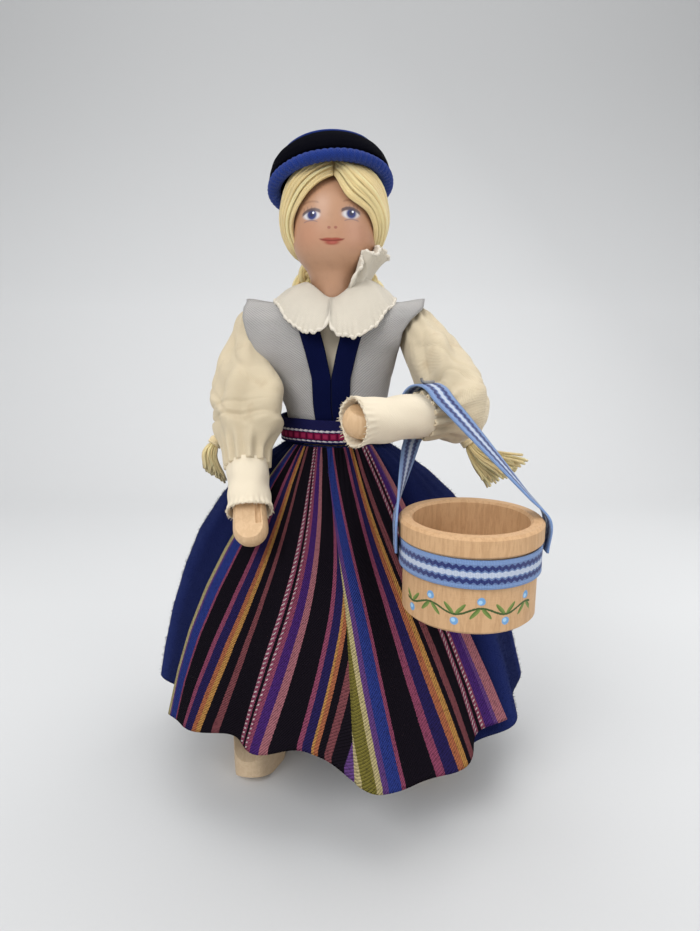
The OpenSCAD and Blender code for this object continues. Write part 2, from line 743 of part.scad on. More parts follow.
function back_half(grow, side) = vest_grid(back_in_shares, back_side_shares, 0, -seam_gap, side, 1, grow, vest_cols);
back_in_shares = [0.4, 0.34, 0.2, 0, 0, 0, 0, 0];
module vest_back() {
  color("silver") doll() {
    for (side = [right, left]) shell(back_half(0, side), back_half(-vest_t, side), false);
  }
}
module vest_trim(side) {
  grow = seat_clear + trim_t;
  color("midnightblue") doll() shell(
    vest_grid(opening_shares, opening_shares, 0, trim_w, side, -1, grow, 2),
    vest_grid(opening_shares, opening_shares, 0, trim_w, side, -1, seat_clear, 2),
    false
  );
}

// Belt: a woven band round the vest's lower edge
belt_cols = 40;
function oval(half_w, half_d, cols) =
  [for (j = [0 : cols - 1]) [half_w * cos(360 * j / cols), half_d * sin(360 * j / cols)]];
belt_half_w = vest_shoulder_half_w * vest_reach_shares[6] + cloth_clear;
belt_half_d = vest_half_d * vest_depth_shares[6] + trim_t + cloth_clear;
module belt() {
  color("indigo") doll() translate([0, 0, waist_z - belt_w / 2]) linear_extrude(belt_w) difference() {
    polygon(oval(belt_half_w + belt_t, belt_half_d + belt_t, belt_cols));
    polygon(oval(belt_half_w, belt_half_d, belt_cols));
  }
}

// Skirt: a bell of cloth gathered at the waist, with soft folds and a dent where the bucket leans
skirt_cols = 64;
skirt_drop_shares = [0, 0.05, 0.13, 0.23, 0.36, 0.5, 0.66, 0.83, 1];
skirt_wide_shares = [0.25, 0.36, 0.51, 0.65, 0.77, 0.85, 0.915, 0.963, 1];
skirt_deep_shares = [0.27, 0.31, 0.38, 0.46, 0.57, 0.69, 0.81, 0.915, 1];
dent_at = -54;
dent_width = 24;
dent_d = 1.8;
dent_h = 26;
dent_z = bucket_base[2];
// A value read off a table at x, carried on in a straight line past its end
function along(xs, ys, x) =
  let (n = len(xs) - 2, k = min(n, max([for (i = [0 : n]) xs[i] <= x ? i : 0])))
  mix(ys[k], ys[k + 1], (x - xs[k]) / (xs[k + 1] - xs[k]));
function skirt_dent(a, z) =
  let (u = (((a - dent_at + 540) % 360) - 180) / dent_width, v = (z - dent_z) / dent_h)
  dent_d * exp(-u * u - v * v);
// The skirt's outside at an angle and a drop below its top, grown outwards by a distance
function skirt_point(a, drop, grow) =
  let (
    t = drop / skirt_len,
    z = skirt_top_z - drop,
    wide = skirt_half_w * along(skirt_drop_shares, skirt_wide_shares, t),
    deep = skirt_half_d * along(skirt_drop_shares, skirt_deep_shares, t),
    r = wide * deep / norm([deep * cos(a), wide * sin(a)]),
    fold = skirt_fold_d * t * cos(skirt_folds * a) - skirt_dent(a, z)
  )
  [(r + fold + grow) * cos(a), (r + fold + grow) * sin(a), z];
function skirt_grid(grow) = [
  for (share = skirt_drop_shares) [
    for (j = [0 : skirt_cols - 1]) skirt_point(360 * j / skirt_cols, skirt_len * share, grow)
  ]
];
module skirt() {
  color("navy") doll() shell(skirt_grid(0), skirt_grid(-skirt_t), true);
}

// Apron: a striped cloth over the skirt's front, wider at its hem, with its own folds
apron_cols = 44;
apron_from = -152;
apron_to = -34;
apron_gap = 0.9;
apron_waist_share = 0.82;
sag_at_share = 0.56;
function apron_point(u, share, grow) =
  let (
    hang = apron_len + apron_sag * max(0, cos(180 * (u - sag_at_share))),
    spread = mix(apron_waist_share, 1, share),
    a = (apron_from + apron_to) / 2 + spread * (apron_to - apron_from) * (u - 0.5),
    fold = apron_fold_d * share * (1 + cos(360 * apron_folds * u)) / 2
  )
  skirt_point(a, hang * share, apron_gap + fold + grow);
function apron_grid(grow) = [
  for (share = skirt_drop_shares) [for (j = [0 : apron_cols]) apron_point(j / apron_cols, share, grow)]
];
module apron() {
  color("maroon") doll() shell(apron_grid(apron_t), apron_grid(0), false);
}

// Sleeves: a puffed tube of cloth from the shoulder, round the elbow and into the cuff
sleeve_rows = 16;
sleeve_cols = 28;
sleeve_top = peg_r + 2 * cloth_clear;
sleeve_flat_r = arm_r + sleeve_t + cloth_clear;
sleeve_shares = [0, 0.36, 0.68, 0.9, 1, 0.93, 0.72, 0.36, 0.1, 0];
elbow_bulge_share = 0.3;
elbow_crease_share = 0.3;
sleeve_gathers = 9;
sleeve_fold_d = 0.35;
// Weight of a feature that is strongest near one place along the sleeve
function near(t, place, sharpness) = ease(clamp(1.6 - abs(t - place) * sharpness));
// The sleeve's middle line bends round the elbow
function sleeve_line(side, t) =
  let (
    elbow = [0, 0, -upper_arm_len],
    top = [0, 0, -sleeve_top],
    end = elbow + (cuff_start - cloth_clear) * fore_way(side),
    s = clamp((t - 0.5) / 0.5),
    start = [0, 0, -upper_arm_len + sleeve_r]
  )
  t < 0.5 ? mix(top, start, t / 0.5) : (1 - s) * (1 - s) * start + 2 * s * (1 - s) * elbow + s * s * end;
function sleeve_ring(side, t, grow) =
  let (
    way = unit(sleeve_line(side, min(1, t + 0.02)) - sleeve_line(side, max(0, t - 0.02))),
    s = pin_way(side),
    n = cross(s, way),
    end_r = mix(arm_r, cuff_r, t) + sleeve_t + cloth_clear * (1 - t) - sleeve_t * t,
    r = mix(end_r, sleeve_r, step_at(sleeve_shares, t))
  ) [
    for (j = [0 : sleeve_cols - 1])
      let (
        a = 360 * j / sleeve_cols,
        d = cos(a) * s + sin(a) * n,
        inward = max(0, -side * d[0]) * (t < 0.7 ? 1 : 0),
        fold = sleeve_fold_d * step_at(sleeve_shares, t) * cos(sleeve_gathers * a),
        outer = [0, 0, -1] - fore_way(side),
        bulge = sleeve_r * elbow_bulge_share * max(0, d * outer) * near(t, 0.68, 8),
        crease = sleeve_r * elbow_crease_share * max(0, -d * outer) * near(t, 0.62, 6),
        full = max(r + fold + bulge - crease, min(r, sleeve_flat_r)),
        reach = full - (full - min(full, sleeve_flat_r)) * pow(inward, 1.5) + grow
      )
      sleeve_line(side, t) + reach * d
  ];
function sleeve_grid(side, grow) = [for (i = [0 : sleeve_rows]) sleeve_ring(side, i / sleeve_rows, grow)];
module sleeve(side) {
  color("cornsilk") arm_frame(side) shell(sleeve_grid(side, 0), sleeve_grid(side, -sleeve_t), true);
}
module cuff(side) {
  color("ivory") forearm_frame(side) translate([0, 0, -cuff_start - cuff_len]) difference() {
    cylinder(r = cuff_r, h = cuff_len);
    translate([0, 0, -cut]) cylinder(r = forearm_r + cloth_clear, h = cuff_len + 2 * cut);
  }
}

// Bucket: a turned bowl with a lip, a woven band under the lip and a ribbon loop over the left arm
bucket_edge = 0.6;
module bucket_frame() {
  doll() translate(bucket_base) children();
}
module bucket() {
  rim_r = bucket_r + bucket_lip;
  inner_r = bucket_r - bucket_wall;
  color("burlywood") bucket_frame() rotate_extrude() polygon([
    [0, 0],
    [bucket_r - bucket_edge, 0],
    [bucket_r, bucket_edge],
    [bucket_r, bucket_h - bucket_lip_h],
    [rim_r - bucket_edge, bucket_h - bucket_lip_h],
    [rim_r, bucket_h - bucket_lip_h + bucket_edge],
    [rim_r, bucket_h - bucket_edge],
    [rim_r - bucket_edge, bucket_h],
    [inner_r + bucket_edge, bucket_h],
    [inner_r, bucket_h - bucket_edge],
    [inner_r, bucket_wall],
    [0, bucket_wall]
  ]);
}
band_top = bucket_h - bucket_lip_h - seat_clear;
module bucket_band() {
  color("lightskyblue") bucket_frame() translate([0, 0, band_top - ribbon_w]) difference() {
    cylinder(r = bucket_r + seat_clear + ribbon_t, h = ribbon_w);
    translate([0, 0, -cut]) cylinder(r = bucket_r + seat_clear, h = ribbon_w + 2 * cut);
  }
}
// The loop: up from one side of the bucket, over the forearm beside the elbow, down to the other side
hang_share = 0.86;
loop_ease = 1.8;
loop_r = cuff_r + loop_ease;
hang_point = left_elbow + cuff_start * hang_share * left_fore;
loop_side = unit([-left_fore[1], left_fore[0], 0]);
strap_out = bucket_r + bucket_lip + seat_clear + ribbon_t / 2;
arc_steps = 10;
strand_steps = 6;
function lip_point(side) = bucket_base + [side * strap_out, 0, bucket_h];
// Angle round the forearm at which a straight strand from the lip leaves the arm
function leave_at(side) =
  let (d = lip_point(side) - hang_point, n = d * loop_side, z = d[2])
  atan2(z, n) + side * acos(loop_r / norm([n, z])) + (side == right ? 360 : 0);
function loop_out(a) = cos(a) * loop_side + sin(a) * [0, 0, 1];
// One strand from its foot on the bucket to the arm, as [point, width way, outward way]
function strand(side) =
  let (
    foot = bucket_base + [side * strap_out, 0, band_top - ribbon_w / 2],
    out = loop_out(leave_at(side))
  ) [
    [foot, [0, 1, 0], [side, 0, 0]],
    for (i = [0 : strand_steps - 1])
      let (t = i / strand_steps)
      [
        mix(lip_point(side), hang_point + loop_r * out, t),
        unit(mix([0, 1, 0], -left_fore, t)),
        unit(mix([side, 0, 0], out, t))
      ]
  ];
function loop_arc() = [
  for (i = [0 : arc_steps])
    let (out = loop_out(mix(leave_at(right), leave_at(left), i / arc_steps)))
    [hang_point + loop_r * out, -left_fore, out]
];
function reversed(list) = [for (i = [len(list) - 1 : -1 : 0]) list[i]];
handle_path = concat(strand(right), loop_arc(), reversed(strand(left)));
function strap_ring(p) = [
  p[0] - p[1] * ribbon_w / 2 - p[2] * ribbon_t / 2,
  p[0] - p[1] * ribbon_w / 2 + p[2] * ribbon_t / 2,
  p[0] + p[1] * ribbon_w / 2 + p[2] * ribbon_t / 2,
  p[0] + p[1] * ribbon_w / 2 - p[2] * ribbon_t / 2
];
module bucket_handle() {
  color("lightskyblue") doll() tube([for (p = handle_path) strap_ring(p)]);
}
// Bent wire that pins the loop, its free end turned up
wire_r = 0.4;
wire_sides = 6;
wire_x_shares = [-0.31, 0.18, 0.28, 0.33];
wire_z_shares = [0, 0, 0.05, 0.16];
function wire_point(k) = ribbon_w * [wire_x_shares[k], 0, wire_z_shares[k]];
module handle_pin() {
  last = len(wire_x_shares) - 1;
  color("dimgray") doll() translate(hang_point + [0, 0, loop_r + ribbon_t / 2 + wire_r + seat_clear])
    rotate([0, 0, atan2(left_fore[1], left_fore[0])])
      tube([for (k = [0 : last])
        ring(wire_point(k), wire_point(min(last, k + 1)) - wire_point(max(0, k - 1)), wire_r, wire_sides)]);
}

// The part's origin lies under the middle of its outline
reach_front = bucket_y + bucket_r + bucket_lip;
reach_back = skirt_half_d + skirt_fold_d;
reach_left = tie_start(left)[0] + tuft_len * tuft_dir(left)[0] + tuft_end_r / 2;
doll_y = (reach_front - reach_back) / 2;
doll_x = (skirt_half_w - reach_left) / 2;

torso();
head();
shoulder_peg();
hip_peg();
upper_arm(right);  // right_upper_arm
elbow_pin(right);  // right_elbow_pin
forearm(right);  // right_forearm
upper_arm(left);  // left_upper_arm
elbow_pin(left);  // left_elbow_pin
forearm(left);  // left_forearm
thigh(right);  // right_thigh
knee_pin(right);  // right_knee_pin
shin(right);  // right_shin
clog(right);  // right_clog
thigh(left);  // left_thigh
knee_pin(left);  // left_knee_pin
shin(left);  // left_shin
clog(left);  // left_clog
hair();
hat_crown();
hat_band();
hat_roll();
collar();
blouse_front();
vest_back();
right_vest_front();
left_vest_front();
vest_trim(right);  // right_vest_trim
vest_trim(left);  // left_vest_trim
belt();
skirt();
apron();
plait(right);  // right_plait
plait_tie(right);  // right_plait_tie
plait_tuft(right);  // right_plait_tuft
sleeve(right);  // right_sleeve
cuff(right);  // right_cuff
plait(left);  // left_plait
plait_tie(left);  // left_plait_tie
plait_tuft(left);  // left_plait_tuft
sleeve(left);  // left_sleeve
cuff(left);  // left_cuff
bucket();
bucket_band();
bucket_handle();
handle_pin();
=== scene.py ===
import bpy, json, math
import numpy as np
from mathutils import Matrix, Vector


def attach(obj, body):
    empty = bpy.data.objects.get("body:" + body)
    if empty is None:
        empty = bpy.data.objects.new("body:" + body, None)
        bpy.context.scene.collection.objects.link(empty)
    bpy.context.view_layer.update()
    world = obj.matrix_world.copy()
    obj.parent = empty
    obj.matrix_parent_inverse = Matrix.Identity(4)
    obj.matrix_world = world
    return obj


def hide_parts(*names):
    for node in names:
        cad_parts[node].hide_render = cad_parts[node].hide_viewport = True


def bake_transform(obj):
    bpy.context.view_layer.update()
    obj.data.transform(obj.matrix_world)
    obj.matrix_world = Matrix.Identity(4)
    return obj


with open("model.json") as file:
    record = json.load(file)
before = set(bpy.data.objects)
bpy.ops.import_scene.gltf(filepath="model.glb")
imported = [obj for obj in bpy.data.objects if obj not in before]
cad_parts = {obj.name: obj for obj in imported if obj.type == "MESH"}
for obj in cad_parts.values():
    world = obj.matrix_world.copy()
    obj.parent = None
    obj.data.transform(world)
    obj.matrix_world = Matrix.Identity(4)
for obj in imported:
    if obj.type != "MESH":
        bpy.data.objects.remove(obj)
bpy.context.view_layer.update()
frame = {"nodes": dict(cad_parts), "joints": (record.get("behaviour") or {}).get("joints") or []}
scene = bpy.context.scene
scene.view_settings.view_transform = "Standard"

joints = {j["name"]: j for j in frame["joints"]}
hips = [np.array(joints[n]["pos_m"]) for n in ("right_hip", "left_hip")]
dollAxis = np.array([(hips[0][0] + hips[1][0]) / 2, hips[0][1], 0])  # the doll's middle line on the floor
jointAt = {n: (np.array(j["pos_m"]) - dollAxis) * 1000 for n, j in joints.items()}
tau = 2 * math.pi


def toRow(points):  # millimetres from the doll's middle line -> metres in the shared frame
    return np.asarray(points, float) * 0.001 + dollAxis


def unit(v):
    v = np.asarray(v, float)
    return v / np.maximum(np.linalg.norm(v, axis=-1, keepdims=True), 1e-9)


def ease(t):
    t = np.clip(t, 0, 1)
    return t * t * (3 - 2 * t)


def mix(a, b, t):
    return a + (b - a) * t


def bell(x, middle, width):
    return np.exp(-((x - middle) / width) ** 2)


def ring(count):  # angles around a circle
    return np.linspace(0, tau, count, endpoint=False)


def polar(r, a, z):
    return np.stack(np.broadcast_arrays(r * np.cos(a), r * np.sin(a), z), axis=-1)


def spin(a, first, second):  # ways turned from the first towards the second
    a = np.asarray(a)[..., None]
    return np.cos(a) * first + np.sin(a) * second


def turnPair(p, q, degrees):  # two coordinates turned about the third
    c, s = math.cos(math.radians(degrees)), math.sin(math.radians(degrees))
    return p * c - q * s, p * s + q * c


def stepSizes(points, axis=0):
    return np.linalg.norm(np.diff(points, axis=axis), axis=-1)


def runUp(steps):  # distance from the start after each step
    return np.concatenate([[0], np.cumsum(steps)])


def uvGrid(u, v):
    return np.stack(np.meshgrid(u, v), axis=-1)


def toned(colour, by):  # a colour made darker or paler
    return tuple(min(1, c * by) for c in colour)


def smoothRead(xs, ys, x):  # a soft curve through table values
    xs, ys, x = np.asarray(xs, float), np.asarray(ys, float), np.asarray(x, float)
    slope = np.gradient(ys, xs)
    k = np.clip(np.searchsorted(xs, x, side="right") - 1, 0, len(xs) - 2)
    h = xs[k + 1] - xs[k]
    t = (x - xs[k]) / h
    t2, t3 = t * t, t * t * t
    return ((2 * t3 - 3 * t2 + 1) * ys[k] + (t3 - 2 * t2 + t) * h * slope[k]
            + (-2 * t3 + 3 * t2) * ys[k + 1] + (t3 - t2) * h * slope[k + 1])


def softPath(points, count):  # a smooth line through points, evenly stepped
    points = np.asarray(points, float)
    columns = range(points.shape[1])
    t = runUp(stepSizes(points))
    fine = np.linspace(0, t[-1], 400)
    line = np.stack([smoothRead(t, points[:, k], fine) for k in columns], axis=1)
    s = runUp(stepSizes(line))
    even = np.linspace(0, s[-1], count)
    return np.stack([np.interp(even, s, line[:, k]) for k in columns], axis=1)


# Meshes
class Bundle:  # gathers grids and tubes, in millimetres, into one mesh
    def __init__(self):
        self.points, self.faces, self.uvs, self.tints, self.count = [], [], [], [], 0

    def grid(self, points, uv=None, wrap=False, tint=0.0, flip=False):
        points = np.asarray(points, float)
        rows, cols = points.shape[:2]
        if uv is None:
            uv = uvGrid(np.linspace(0, 1, cols + wrap), np.linspace(0, 1, rows))
        last = cols if wrap else cols - 1
        i, j = np.meshgrid(np.arange(rows - 1), np.arange(last), indexing="ij")
        corner = lambda a, b: self.count + a * cols + b % cols
        quads = np.stack([corner(i, j), corner(i + 1, j), corner(i + 1, j + 1), corner(i, j + 1)], axis=-1)
        uvQuads = np.stack([uv[i, j], uv[i + 1, j], uv[i + 1, j + 1], uv[i, j + 1]], axis=-2)
        if flip:
            quads, uvQuads = quads[..., ::-1], uvQuads[..., ::-1, :]
        self.points.append(points.reshape(-1, 3))
        self.faces.append(quads.reshape(-1, 4))
        self.uvs.append(uvQuads.reshape(-1, 2))
        self.tints.append(np.broadcast_to(tint, (rows, cols)).ravel())
        self.count += rows * cols

    def tube(self, path, radius, sides=6, tint=0.0, up=(0, 0, 1), squash=1.0, taper=True):
        path = np.asarray(path, float)
        radius = np.broadcast_to(np.asarray(radius, float), (len(path),)).copy()
        if taper:
            radius[[0, -1]] *= 0.02  # ends drawn to a point
        way = unit(np.gradient(path, axis=0))
        side = np.cross(way, np.asarray(up, float))
        astray = np.linalg.norm(side, axis=1, keepdims=True) < 1e-3
        side = unit(np.where(astray, np.cross(way, [1, 0.2, 0]), side))
        around = spin(ring(sides), side[:, None], squash * np.cross(side, way)[:, None])
        self.grid(path[:, None] + radius[:, None, None] * around, wrap=True, tint=tint)

    def build(self, name, finish, thick=0.0, offset=-1):
        mesh = bpy.data.meshes.new(name)
        points, faces = toRow(np.concatenate(self.points)), np.concatenate(self.faces)
        mesh.vertices.add(len(points))
        mesh.vertices.foreach_set("co", points.ravel())
        mesh.loops.add(faces.size)
        mesh.loops.foreach_set("vertex_index", faces.ravel().astype(np.int32))
        mesh.polygons.add(len(faces))
        mesh.polygons.foreach_set("loop_start", np.arange(0, faces.size, 4, dtype=np.int32))
        mesh.polygons.foreach_set("use_smooth", np.ones(len(faces), bool))
        mesh.uv_layers.new(name="UVMap").data.foreach_set("uv", np.concatenate(self.uvs).ravel())
        mesh.attributes.new("tint", "FLOAT", "POINT").data.foreach_set("value", np.concatenate(self.tints))
        mesh.update(calc_edges=True)
        mesh.validate()
        piece = bpy.data.objects.new(name, mesh)
        scene.collection.objects.link(piece)
        mesh.materials.append(finish.mat)
        if thick:
            wall = piece.modifiers.new("wall", "SOLIDIFY")
            wall.thickness, wall.offset = thick * 0.001, offset
        return settle(piece)


def settle(piece):  # modifiers become plain mesh
    if piece.modifiers:
        graph = bpy.context.evaluated_depsgraph_get()
        ready = piece.evaluated_get(graph)
        mesh = bpy.data.meshes.new_from_object(ready, preserve_all_data_layers=True, depsgraph=graph)
        piece.modifiers.clear()
        piece.data = mesh
    return piece


def dress(piece, body, slot, *nodes):  # rides on its body and stands for its CAD nodes
    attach(piece, body)
    if nodes:
        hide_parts(*nodes)
    return piece


# Shader maths
class Sock:  # one socket of a finish, so that sums on it read as sums
    def __init__(self, finish, out):
        self.finish, self.out = finish, out

    def maths(self, kind, a, b=None):
        sockets = {0: a} if b is None else {0: a, 1: b}
        return self.finish.add("ShaderNodeMath", {"operation": kind}, sockets)

    def __add__(self, other): return self.maths("ADD", self, other)
    def __radd__(self, other): return self.maths("ADD", other, self)
    def __sub__(self, other): return self.maths("SUBTRACT", self, other)
    def __rsub__(self, other): return self.maths("SUBTRACT", other, self)
    def __mul__(self, other): return self.maths("MULTIPLY", self, other)
    def __rmul__(self, other): return self.maths("MULTIPLY", other, self)
    def __truediv__(self, other): return self.maths("DIVIDE", self, other)
    def __pow__(self, other): return self.maths("POWER", self, other)
    def __abs__(self): return self.maths("ABSOLUTE", self)
    def sin(self): return self.maths("SINE", self)
    def fract(self): return self.maths("FRACT", self)
    def root(self): return self.maths("SQRT", self)
    def low(self, other): return self.maths("MINIMUM", self, other)
    def high(self, other): return self.maths("MAXIMUM", self, other)

    def step(self, lo, hi):  # 0 below lo, 1 above hi; falls when lo > hi
        ends = {1: lo, 2: hi, 3: 0.0, 4: 1.0} if lo < hi else {1: hi, 2: lo, 3: 1.0, 4: 0.0}
        return self.finish.add("ShaderNodeMapRange", {"interpolation_type": "SMOOTHSTEP"}, {0: self, **ends})

    def between(self, lo, hi, soft):
        return self.step(lo - soft, lo + soft) * self.step(hi + soft, hi - soft)


class Finish:
    def __init__(self, name, **fixed):
        self.mat = bpy.data.materials.new(name)
        self.mat.use_nodes = True
        self.tree = self.mat.node_tree
        self.shader = self.tree.nodes["Principled BSDF"]
        for socket, value in fixed.items():
            self.set(socket.replace("_", " "), value)

    def add(self, kind, settings=None, sockets=None, out=0):
        node = self.tree.nodes.new(kind)
        for key, value in (settings or {}).items():
            if key == "stops":
                ramp = node.color_ramp.elements
                while len(ramp) < len(value):
                    ramp.new(0.5)
                for stop, (place, colour) in zip(ramp, value):
                    stop.position, stop.color = place, (*colour, 1)
            else:
                setattr(node, key, value)
        for key, value in (sockets or {}).items():
            self.feed(node.inputs[key], value)
        return Sock(self, node.outputs[out])

    def feed(self, socket, value):
        if isinstance(value, Sock):
            self.tree.links.new(value.out, socket)
        elif isinstance(value, tuple) and socket.type == "RGBA" and len(value) == 3:
            socket.default_value = (*value, 1)
        else:
            socket.default_value = value

    def set(self, socket, value):
        self.feed(self.shader.inputs[socket], value)

    def place(self):  # object coordinates in millimetres from the doll's middle line
        spot = self.add("ShaderNodeTexCoord", out=3)
        moved = self.add("ShaderNodeVectorMath", {"operation": "SUBTRACT"}, {0: spot, 1: tuple(dollAxis)})
        return self.add("ShaderNodeVectorMath", {"operation": "SCALE"}, {0: moved, 3: 1000.0})

    def axes(self, vector):
        node = self.add("ShaderNodeSeparateXYZ", None, {0: vector})
        return [Sock(self, node.out.node.outputs[k]) for k in range(3)]

    def uv(self):
        return self.axes(self.add("ShaderNodeUVMap", {"uv_map": "UVMap"}))[:2]

    def vector(self, x, y, z=0.0):
        return self.add("ShaderNodeCombineXYZ", None, {0: x, 1: y, 2: z})

    def tint(self):
        return self.add("ShaderNodeAttribute", {"attribute_name": "tint"}, out=2)

    def noise(self, vector, scale, detail=3.0, rough=0.55):
        sockets = {"Vector": vector, "Scale": scale, "Detail": detail, "Roughness": rough}
        return self.add("ShaderNodeTexNoise", None, sockets)

    def weave(self, x, y, detail, z=0.0, rough=0.55):  # noise on coordinates of its own
        return self.noise(self.vector(x, y, z), 1.0, detail, rough)

    def mix(self, a, b, share):
        return self.add("ShaderNodeMix", {"data_type": "RGBA"}, {0: share, 6: a, 7: b}, out=2)

    def coat(self, colour, height, depth, strength=0.8):  # the last step of a finish
        self.set("Base Color", colour)
        sockets = {"Height": height, "Distance": depth, "Strength": strength}
        self.set("Normal", self.add("ShaderNodeBump", None, sockets))
        return self


# Camera, light and floor
view = {"lens": 25.52, "spot": (4.0, -183.0, 126.35), "pitch": 12.5}
camera = bpy.data.objects.new("camera", bpy.data.cameras.new("camera"))
scene.collection.objects.link(camera)
camera.data.lens, camera.data.sensor_width, camera.data.clip_start = view["lens"], 36, 0.005
camera.location = toRow(view["spot"])
camera.rotation_euler = (math.radians(90 - view["pitch"]), 0, 0)
scene.camera = camera

studio = {"world": 0.52, "key": 1.75, "fill": 0.75, "top": 1.15, "rim": 0.35, "floor": (0.70, 0.705, 0.71)}
world = bpy.data.worlds.new("studio")
scene.world = world
world.use_nodes = True
world.node_tree.nodes["Background"].inputs[0].default_value = (0.98, 0.99, 1.0, 1)
world.node_tree.nodes["Background"].inputs[1].default_value = studio["world"]


def lamp(name, spot, aim, size, watts):
    light = bpy.data.objects.new(name, bpy.data.lights.new(name, "AREA"))
    scene.collection.objects.link(light)
    light.data.shape, light.data.size, light.data.size_y, light.data.energy = "RECTANGLE", *size, watts
    light.location = toRow(spot)
    light.rotation_euler = (Vector(toRow(aim)) - light.location).to_track_quat("-Z", "Y").to_euler()


lamp("key", (-260, -380, 420), (0, 0, 95), (0.30, 0.30), studio["key"])
lamp("fill", (380, -330, 220), (0, 0, 90), (0.34, 0.34), studio["fill"])
lamp("top", (0, 60, 560), (0, 0, 80), (0.45, 0.45), studio["top"])
lamp("rim", (230, 150, 330), (0, 0, 110), (0.30, 0.30), studio["rim"])

sweepBend = {"front": -700, "bend": 260, "radius": 160, "height": 900, "half": 900}
bend, radius = sweepBend["bend"], sweepBend["radius"]
profile = [(sweepBend["front"], 0), (bend, 0)]
profile += [(bend + radius * math.sin(a), radius * (1 - math.cos(a))) for a in np.linspace(0.1, math.pi / 2, 14)]
profile += [(bend + radius, sweepBend["height"])]
sweep = Bundle()
sweep.grid([[(x, y, z) for x in np.linspace(-sweepBend["half"], sweepBend["half"], 3)] for y, z in profile], flip=True)
paper = Finish("paleSweep", Roughness=0.9, Specular_IOR_Level=0.1)
spot = paper.place()
_, back, high = paper.axes(spot)
shade = (back.step(-150, 260) * 0.22 - high.step(30, 380) * 0.36 + 0.86) * (paper.noise(spot, 0.9, 4) * 0.02 + 0.99)
paper.set("Base Color", paper.mix((0.0, 0.0, 0.0), studio["floor"], shade))
floor = sweep.build("sweep", paper)
print("camera, light and floor set")


# Finishes
def woodFinish(name, pale, dark, stretch=(1.0, 1.0, 0.12), rough=0.5):
    f = Finish(name, Specular_IOR_Level=0.35)
    scaled = lambda vector, by: f.add("ShaderNodeVectorMath", {"operation": "MULTIPLY"}, {0: vector, 1: by})
    spot = f.place()
    along = scaled(spot, stretch)
    rings, pores = f.noise(along, 0.55, 5, 0.6), f.noise(scaled(along, (6.0, 6.0, 1.5)), 1.1, 2)
    lines = ((rings * 26).sin() * 0.5 + 0.5) * 0.5
    colour = f.mix(pale, dark, lines * 0.55 + pores.step(0.55, 0.8) * 0.25)
    stain = f.noise(spot, 0.09, 4).step(0.56, 0.82) * 0.4
    f.set("Roughness", pores * 0.2 + (rough - 0.1))
    return f.coat(f.mix(colour, toned(dark, 0.72), stain), lines + pores * 0.6, 0.00012, 0.35)


def flossFinish(name, pale, deep):  # streaks run along each lock
    f = Finish(name, Roughness=0.42, Specular_IOR_Level=0.45, Sheen_Weight=0.25)
    u, v = f.uv()
    tint = f.tint()
    streak = f.weave(u * 46 + tint * 37, v * 2.2, 4, tint * 11, 0.62)
    fine = f.weave(u * 150, v * 3.5, 2, tint * 5)
    colour = f.mix(deep, pale, streak.step(0.3, 0.72) * 0.72 + fine * 0.28)
    colour = f.mix(colour, toned(pale, 1.12), tint.step(0.55, 1.0) * 0.5)
    return f.coat(colour, streak + fine * 0.6, 0.00035)


def clothFinish(name, colour, pitch=0.5, twill=False, sheen=0.3, fade=0.18, depth=0.00012, worn=None, gloss=0.2):
    f = Finish(name, Roughness=0.85, Specular_IOR_Level=gloss, Sheen_Weight=sheen, Sheen_Roughness=0.5)
    u, v = f.uv()  # millimetres on the cloth
    k = tau / pitch
    threads = ((u + v) * k).sin() if twill else (u * k).sin() * (v * k).sin()
    slub, patch = f.weave(u * 0.4, v * 2.6, 3), f.noise(f.place(), 0.16, 4)
    tone = f.mix(toned(colour, 1 - fade), toned(colour, 1 + fade), patch * 0.5 + slub * 0.35 + threads * 0.22)
    if worn:
        tone = f.mix(tone, worn, patch.step(0.55, 0.8) * 0.6)
    pale = tuple(min(1, c + 0.2) for c in colour)  # shown where the mesh has a tint
    return f.coat(f.mix(tone, pale, f.tint()), threads * 0.5 + slub * 0.7, depth)


beech = woodFinish("oiledBeech", (0.66, 0.45, 0.26), (0.47, 0.28, 0.14))
clogWood = woodFinish("carvedPaleWood", (0.62, 0.47, 0.31), (0.45, 0.31, 0.18), (1.0, 0.14, 1.0), 0.6)
floss = flossFinish("yellowFloss", (1.0, 0.82, 0.43), (0.82, 0.59, 0.23))
threadTie = clothFinish("tieThread", (0.74, 0.60, 0.36), 0.4)
cottonWhite = clothFinish("collarCotton", (0.64, 0.585, 0.49), 0.42, sheen=0.2, fade=0.1)
cottonCream = clothFinish("creamCotton", (0.71, 0.60, 0.42), 0.42, sheen=0.15, fade=0.12, depth=0.0002,
                          worn=(0.54, 0.41, 0.25))
twillGrey = clothFinish("greyTwill", (0.40, 0.385, 0.375), 0.85, twill=True, depth=0.0002, fade=0.22)
woolBlue = clothFinish("capWool", (0.018, 0.045, 0.25), 0.6, sheen=0.1, fade=0.35, depth=0.0003, gloss=0.05)
velvet = clothFinish("capVelvet", (0.003, 0.003, 0.006), 0.35, sheen=0.0, fade=0.5, depth=0.0002, gloss=0.02)
braidNavy = clothFinish("navyBraid", (0.0025, 0.0045, 0.032), 0.7, sheen=0.02, fade=0.3, gloss=0.03)
wire = Finish("bentWire", Base_Color=(0.30, 0.29, 0.28), Metallic=1.0, Roughness=0.38)
wire.set("Roughness", wire.noise(wire.place(), 2.0) * 0.3 + 0.25)
print("finishes made")


